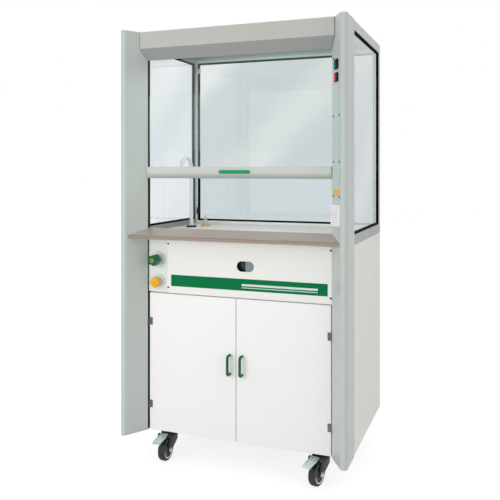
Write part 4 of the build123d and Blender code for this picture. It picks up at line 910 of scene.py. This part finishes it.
def make_wheel(name, place, tread, nylon, rim):
    """Tyre, disc with its hub, and a bright ring on each side."""
    body = name + "_wheel_body"
    turned = sideways(place, -TRAIL, WHEEL_R)
    whole = mirrored(reversed(DISC_HALF)) + DISC_HALF[1:]

    def tyre(bm):
        lathe(bm, TYRE, turned, ROUND)

    def disc(bm):
        lathe(bm, whole, turned, ROUND)

    def rings(bm):
        lathe(bm, RING_HALF, turned, ROUND)
        lathe(bm, mirrored(RING_HALF), turned, ROUND)

    piece(name + "_tyre", tyre, tread, body, name + "_wheel")
    piece(name + "_wheel_disc", disc, nylon, body)
    piece(name + "_wheel_rings", rings, rim, body)


# Brake pedal: sheet that slopes down from its pivot end, with a ribbed tread, a bent-down lip,
# a raised toe line and rolled side edges. Shares run from 0 to 1 along it or from its middle.

PEDAL_START = -52.0
PEDAL_LENGTH = 83.0
PEDAL_HALF = 20.5
PEDAL_TAPER = 1.5
PEDAL_LEVEL = 123.0
PEDAL_SLOPE = 13.0
PEDAL_SHEET = 1.6
PEDAL_ACROSS = 22
PEDAL_ALONG = 40
LIP_FROM, LIP_DROP = 0.84, 4.6
TOE_FROM, TOE_NARROWS = 0.9, 0.10
ROLL_FROM, ROLL_DROP = 0.86, 3.6
TREAD_HALF = 0.74
TREAD_MIDDLE, TREAD_REACH = 0.42, 0.36
RIBS, RIB_RISE = 9, 0.9
LINE_AT, LINE_REACH, LINE_RISE = 0.97, 0.03, 0.8
EAR = [(-66, 119), (-52, 123), (-38, 117), (-38, 105), (-60, 105)]
EAR_SPAN = (25.0, 27.4)
_, PIVOT_Y, PIVOT_Z = joint_at("front_left_brake")
PIVOT = (PIVOT_Y - SWIVEL_Y, PIVOT_Z)
PIVOT_HEAD = [(0, 27.2), (3.6, 27.2), (3.9, 27.8), (3.2, 29.0), (0, 29.4)]


def past(value, edge):
    """0 up to the edge, then rising to 1 where value is 1."""
    return max(0.0, (value - edge) / (1 - edge))


def pedal_point(u, v):
    """Top of the pedal: u from -1 to 1 across it, v from 0 at its pivot end to 1 at the tip."""
    half = (PEDAL_HALF - PEDAL_TAPER * v) * (1 - TOE_NARROWS * past(v, TOE_FROM) ** 2)
    z = PEDAL_LEVEL - PEDAL_SLOPE * v
    z -= LIP_DROP * past(v, LIP_FROM) ** 1.5 + ROLL_DROP * past(abs(u), ROLL_FROM) ** 2
    across = max(0.0, 1 - (abs(u) / TREAD_HALF) ** 8)
    lengthwise = max(0.0, 1 - abs((v - TREAD_MIDDLE) / TREAD_REACH) ** 8)
    z += across * lengthwise * RIB_RISE * (1 + cos(2 * pi * v * RIBS))
    z += LINE_RISE * max(0.0, 1 - ((v - LINE_AT) / LINE_REACH) ** 2)
    return Vector((half * u, PEDAL_START - PEDAL_LENGTH * v, z))


def make_pedal(name, place, zinc, dark):
    """Pressed pedal plate, and the two ears that carry it on its pivot."""
    body = name + "_pedal"
    sheet = Vector((0, 0, PEDAL_SHEET))

    def plate(bm):
        rings = []
        for row in range(PEDAL_ALONG + 1):
            columns = range(PEDAL_ACROSS + 1)
            top = [pedal_point(-1 + 2 * step / PEDAL_ACROSS, row / PEDAL_ALONG) for step in columns]
            under = [point - sheet for point in reversed(top)]
            rings.append([bm.verts.new(place @ point) for point in top + under])
        bridge(bm, rings, capped=True)

    def ears(bm):
        for side in (-1, 1):
            slab(bm, rounded(EAR, 4.0), *EAR_SPAN, upright(place, side), 0.6)
            lathe(bm, PIVOT_HEAD, sideways(place, *PIVOT, side), 24)

    piece(name + "_pedal_plate", plate, zinc, body, name + "_brake_pedal")
    piece(name + "_pedal_ears", ears, dark, body)


def make_casters():
    """Four casters, the front two with a brake pedal."""
    fork_nylon = plastic("caster_nylon", (24, 22, 25), 0.42, Specular_IOR_Level=0.3)
    wheel_nylon = plastic("wheel_disc", (66, 66, 72), 0.36)
    tread = rubber("wheel_rubber", (54, 50, 50), 0.62, 0.3)
    zinc = brushed("zinc", (210, 226, 228), 0.26, (40.0, 40.0, 6.0), metallic=0.55)
    rim = brushed("rim_zinc", (186, 206, 209), 0.2, (40.0, 40.0, 6.0))
    dark = brushed("pedal_ears", (58, 60, 60), 0.5, EVEN)
    for name in CASTERS:
        x, y, _ = joint_at(name + "_swivel")
        turn = radians(REST_TURNS.get(name, 0.0))
        place = Matrix.Translation((x, y, 0)) @ Matrix.Rotation(turn, 4, "Z")
        make_fork(name, place, fork_nylon, zinc)
        make_wheel(name, place, tread, wheel_nylon, rim)
        if name.startswith("front"):
            make_pedal(name, place, zinc, dark)


# Sash front

# Rolled lower edge of the rail, (distance behind its face, height above its foot)
RAIL_ROLL = [
    (0.0, 23.0), (0.3, 19.0), (1.1, 15.0), (2.3, 11.0), (3.6, 7.5), (4.9, 4.5), (6.0, 2.4),
    (7.6, 0.0),
]
# Beaded upper edge, (distance behind its face, distance below its top)
RAIL_BEAD = [(2.0, 0.0), (0.8, 0.4), (0.2, 1.4), (0.2, 5.0), (0.7, 5.5), (0.2, 6.0), (0.0, 14.0)]
PULL_SUNK = 0.2
PULL_EDGE = 4.0
PULL_STEPS = 16


def make_rail():
    """Front rail of the sash, with its lower edge rolled and a darker grey below a set height:
    painted shade.
    """
    low, high = (Vector(corner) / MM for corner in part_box("sash_rail"))
    tall = high.z - low.z
    depth = high.y - low.y
    section = [(depth, 0.0), (depth, tall)]
    section += [(back, tall - down) for back, down in RAIL_BEAD] + RAIL_ROLL

    def build(bm):
        ends = [
            [bm.verts.new((x, low.y + back, low.z + up)) for back, up in section]
            for x in (low.x, high.x)
        ]
        bridge(bm, ends, capped=True)

    # The paint turns darker grey low on the rail: painted shade on the rolled lower edge.
    aluminium = paint(
        "rail_aluminium", (204, 207, 202), 0.45,
        low=(166, 170, 166), split=RAIL_SHADE_EDGE * MM, soft=0.010,
    )
    piece("sash_front_rail", build, aluminium, "sash", "sash_rail", smooth=50)


def make_pull():
    """Bar-shaped pull with round ends, on the face of the rail."""
    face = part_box("sash_rail")[0][1] / MM
    low, high = (Vector(corner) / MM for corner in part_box("sash_handle"))
    middle = (low.z + high.z) / 2
    radius = (high.z - low.z) / 2
    outline = []
    for side, start in ((1, -90), (-1, 90)):
        end = side * ((high.x - low.x) / 2 - radius)
        for step in range(PULL_STEPS + 1):
            turn = radians(start + 180 * step / PULL_STEPS)
            outline.append(Vector((end + radius * cos(turn), middle + radius * sin(turn))))

    def build(bm):
        def place(u, v, w):
            return Vector((u, face - w, v))

        slab(bm, outline, -PULL_SUNK, face - low.y, place, PULL_EDGE, 6)

    green = plastic("pull_green", (0, 150, 96), 0.3, Specular_IOR_Level=0.3)
    piece("sash_pull", build, green, "sash", "sash_handle", smooth=60)


# Knobs: turned outlines are (radius, height), the gas knob's (share of its radius, height)

KNOB_BASE = 1.8
GAS_PROFILE = [
    (0.30, 0.0), (0.34, 2.0), (0.36, 12.0), (0.42, 15.0), (0.80, 17.0), (0.95, 18.6),
    (1.0, 21.0), (1.0, 26.0), (0.97, 29.5), (0.90, 32.4), (0.76, 34.6), (0.58, 35.8),
    (0.40, 36.2), (0.0, 36.3),
]
GAS_HUB = 0.42
GAS_WAIST = 20.6
GAS_CORNER = 4.4
GAS_CORNERS = 4
DISC_RIM = [
    (33.4, 1.3), (33.6, 1.9), (34.3, 2.2), (35.0, 1.9), (35.2, 1.2), (35.2, 0.05),
    (33.4, 0.05), (33.4, 1.3),
]
BADGE_RING = [(8.6, -0.4), (8.6, 0.3), (8.0, 0.9), (6.4, 1.0), (5.2, 0.6), (4.8, -0.4), (8.6, -0.4)]
BADGE_EYE = [(0, -0.3), (4.9, -0.3), (4.9, 0.2), (3.6, 0.5), (0, 0.7)]
STUD = [(0, -0.9), (6.2, -0.9), (6.2, 0.1), (5.2, 0.5), (0, 0.7)]


def gas_radius(share, turn):
    """Radius of the gas knob: round up to its hub, four soft corners where it is full."""
    lobed = GAS_WAIST + GAS_CORNER * (0.5 + 0.5 * cos(GAS_CORNERS * turn)) ** 2.2
    full = past(share, GAS_HUB)
    return share * ((GAS_WAIST + GAS_CORNER) * (1 - full) + lobed * full)


def make_gas_knob():
    """Plump four-cornered knob with a crowned front, on its hub."""
    place = on_front(KNOB_X, DOOR_FACE - KNOB_BASE, GAS_Z)

    def build(bm):
        rings = []
        for share, level in GAS_PROFILE:
            ring = []
            for turn in turns(ROUND) if share else [0.0]:
                reach = gas_radius(share, turn)
                spot = Vector((reach * cos(turn), reach * sin(turn), level))
                ring.append(bm.verts.new(place @ spot))
            rings.append(ring)
        bridge(bm, rings)
        bm.faces.new(rings[0][::-1])

    yellow = plastic("knob_yellow", (243, 182, 22), 0.28, Specular_IOR_Level=0.3)
    piece("gas_knob_body", build, yellow, "gas_knob_body", "gas_knob", smooth=60)


def make_disc_rims():
    """Turned rims of the two discs behind the knobs."""
    def build(bm):
        for level in (WATER_Z, GAS_Z):
            lathe(bm, DISC_RIM, on_front(KNOB_X, DOOR_FACE, level), ROUND)

    rim = plastic("disc_rim", (198, 208, 208), 0.4)
    piece("knob_disc_rims", build, rim, "hood")


def make_badges():
    """Brass ring and dark eye on the water knob, a plain stud on the gas knob."""
    water = on_front(KNOB_X, WATER_FACE, WATER_Z)
    gas = on_front(KNOB_X, GAS_FACE, GAS_Z)

    def ring(bm):
        lathe(bm, BADGE_RING, water, 48)

    def eye(bm):
        lathe(bm, BADGE_EYE, water, 40)

    def stud(bm):
        lathe(bm, STUD, gas, 48)

    brass = brushed("brass", (206, 172, 112), 0.3, (30.0, 30.0, 30.0))
    piece("water_badge_ring", ring, brass, "water_knob_body")
    dark = plastic("badge_dark", (58, 44, 42), 0.4)
    piece("water_badge_eye", eye, dark, "water_knob_body")
    yellow = plastic("stud_yellow", (226, 160, 24))
    piece("gas_badge", stud, yellow, "gas_knob_body")


# Socket on the slanted face: places along the slant, heights, and distances out of the face

SOCKET_Z = 1120
# Middle along the slant, height, half width and half height of each dark filler in a pin slot:
# painted shade of the slot's depth
SLOT_SHADES = ((46, 1130, 1.9, 3.9), (35, 1112, 3.1, 1.9), (57, 1112, 3.1, 1.9))
SLOT_SHADE_OUT = (4.2, 11.2)
SOCKET_SCREWS = (14.0, 78.0)
SCREW_HEAD = [(0, 11.6), (3.0, 11.6), (3.1, 12.2), (2.4, 12.7), (0, 12.9)]


def on_slant(s, z, out):
    """Point of the slanted face: s along it, z high and so far out of it."""
    return SLANT_START + SLANT * s + OUTWARD * out + Vector((0, 0, z))


def make_socket_details():
    """Dark fillers in the three pin slots of the socket, painted shade of the slots' depth, and its
    two fixing screws.
    """
    def slot_shades(bm):
        for s, z, wide, tall in SLOT_SHADES:
            corners = rectangle((s - wide, s + wide), (z - tall, z + tall))
            slab(bm, rounded(corners, 0.6), *SLOT_SHADE_OUT, on_slant, 0.3)

    def screws(bm):
        turn = OUTWARD.to_track_quat("Z", "Y").to_matrix().to_4x4()
        for s in SOCKET_SCREWS:
            lathe(bm, SCREW_HEAD, Matrix.Translation(on_slant(s, SOCKET_Z, 0)) @ turn, 24)

    # Near-black plastic that fills the slots: painted shade.
    dark = plastic("pin_slot_shade", (46, 46, 50), 0.5)
    piece("socket_slot_shades", slot_shades, dark, "hood")
    grey = brushed("socket_screw", (150, 152, 156), 0.35, EVEN)
    piece("socket_screws", screws, grey, "hood")


# Fittings of the rear left post: x and y from POST, heights from the floor

CAP_AT = (4, 1827)
CAP = [
    (0, -1), (13.5, -1), (14.0, 1.0), (14.0, 5.5), (12.6, 7.4), (8.5, 8.2), (8.0, 9.6),
    (6.0, 10.6), (0, 10.8),
]
HOOK_PLATE_X = (-4, 8)
HOOK_PLATE_Z = (1062, 1098)
HOOK_PLATE_OUT = (-1.0, 3.0)
HOOK_X = 2
HOOK_R = 2.6
HOOK_SIDES = 16
HOOK_PATH = [(3.0, 1090.0), (9.0, 1089.0), (14.0, 1084.0), (15.0, 1076.0), (12.0, 1070.0)]


def make_post_cap():
    """Stepped round cap that faces the front."""
    x, y = POST
    place = on_front(x + CAP_AT[0], y, CAP_AT[1])
    pale = plastic("post_fitting", (206, 210, 208))
    piece("post_cap", lambda bm: lathe(bm, CAP, place, 48), pale, "hood")


def make_post_hook():
    """Small plate with a bent round bar."""
    x, y = POST
    plate = rectangle([x + side for side in HOOK_PLATE_X], HOOK_PLATE_Z)

    def place(u, v, w):
        return Vector((u, y - w, v))

    def build(bm):
        slab(bm, rounded(plate, 3.0), *HOOK_PLATE_OUT, place)
        rings = []
        for index, (out, z) in enumerate(HOOK_PATH):
            before = Vector(HOOK_PATH[max(index - 1, 0)])
            ahead = Vector(HOOK_PATH[min(index + 1, len(HOOK_PATH) - 1)]) - before
            normal = Vector((-ahead.y, ahead.x)).normalized()
            ring = []
            for turn in turns(HOOK_SIDES):
                bend = normal * HOOK_R * cos(turn)
                u = x + HOOK_X + HOOK_R * sin(turn)
                ring.append(bm.verts.new(place(u, z + bend.y, out + bend.x)))
            rings.append(ring)
        bridge(bm, rings, capped=True)

    dark = plastic("post_hook", (40, 42, 44), 0.45)
    piece("post_hook", build, dark, "hood")


make_camera()
make_world()
make_lights()
make_floor()
finish_housing()
finish_fittings()
finish_panes()
make_stripe()
make_casters()
make_rail()
make_pull()
make_gas_knob()
make_disc_rims()
make_badges()
make_socket_details()
make_post_cap()
make_post_hook()

scene = bpy.context.scene
scene.view_settings.view_transform = "Standard"
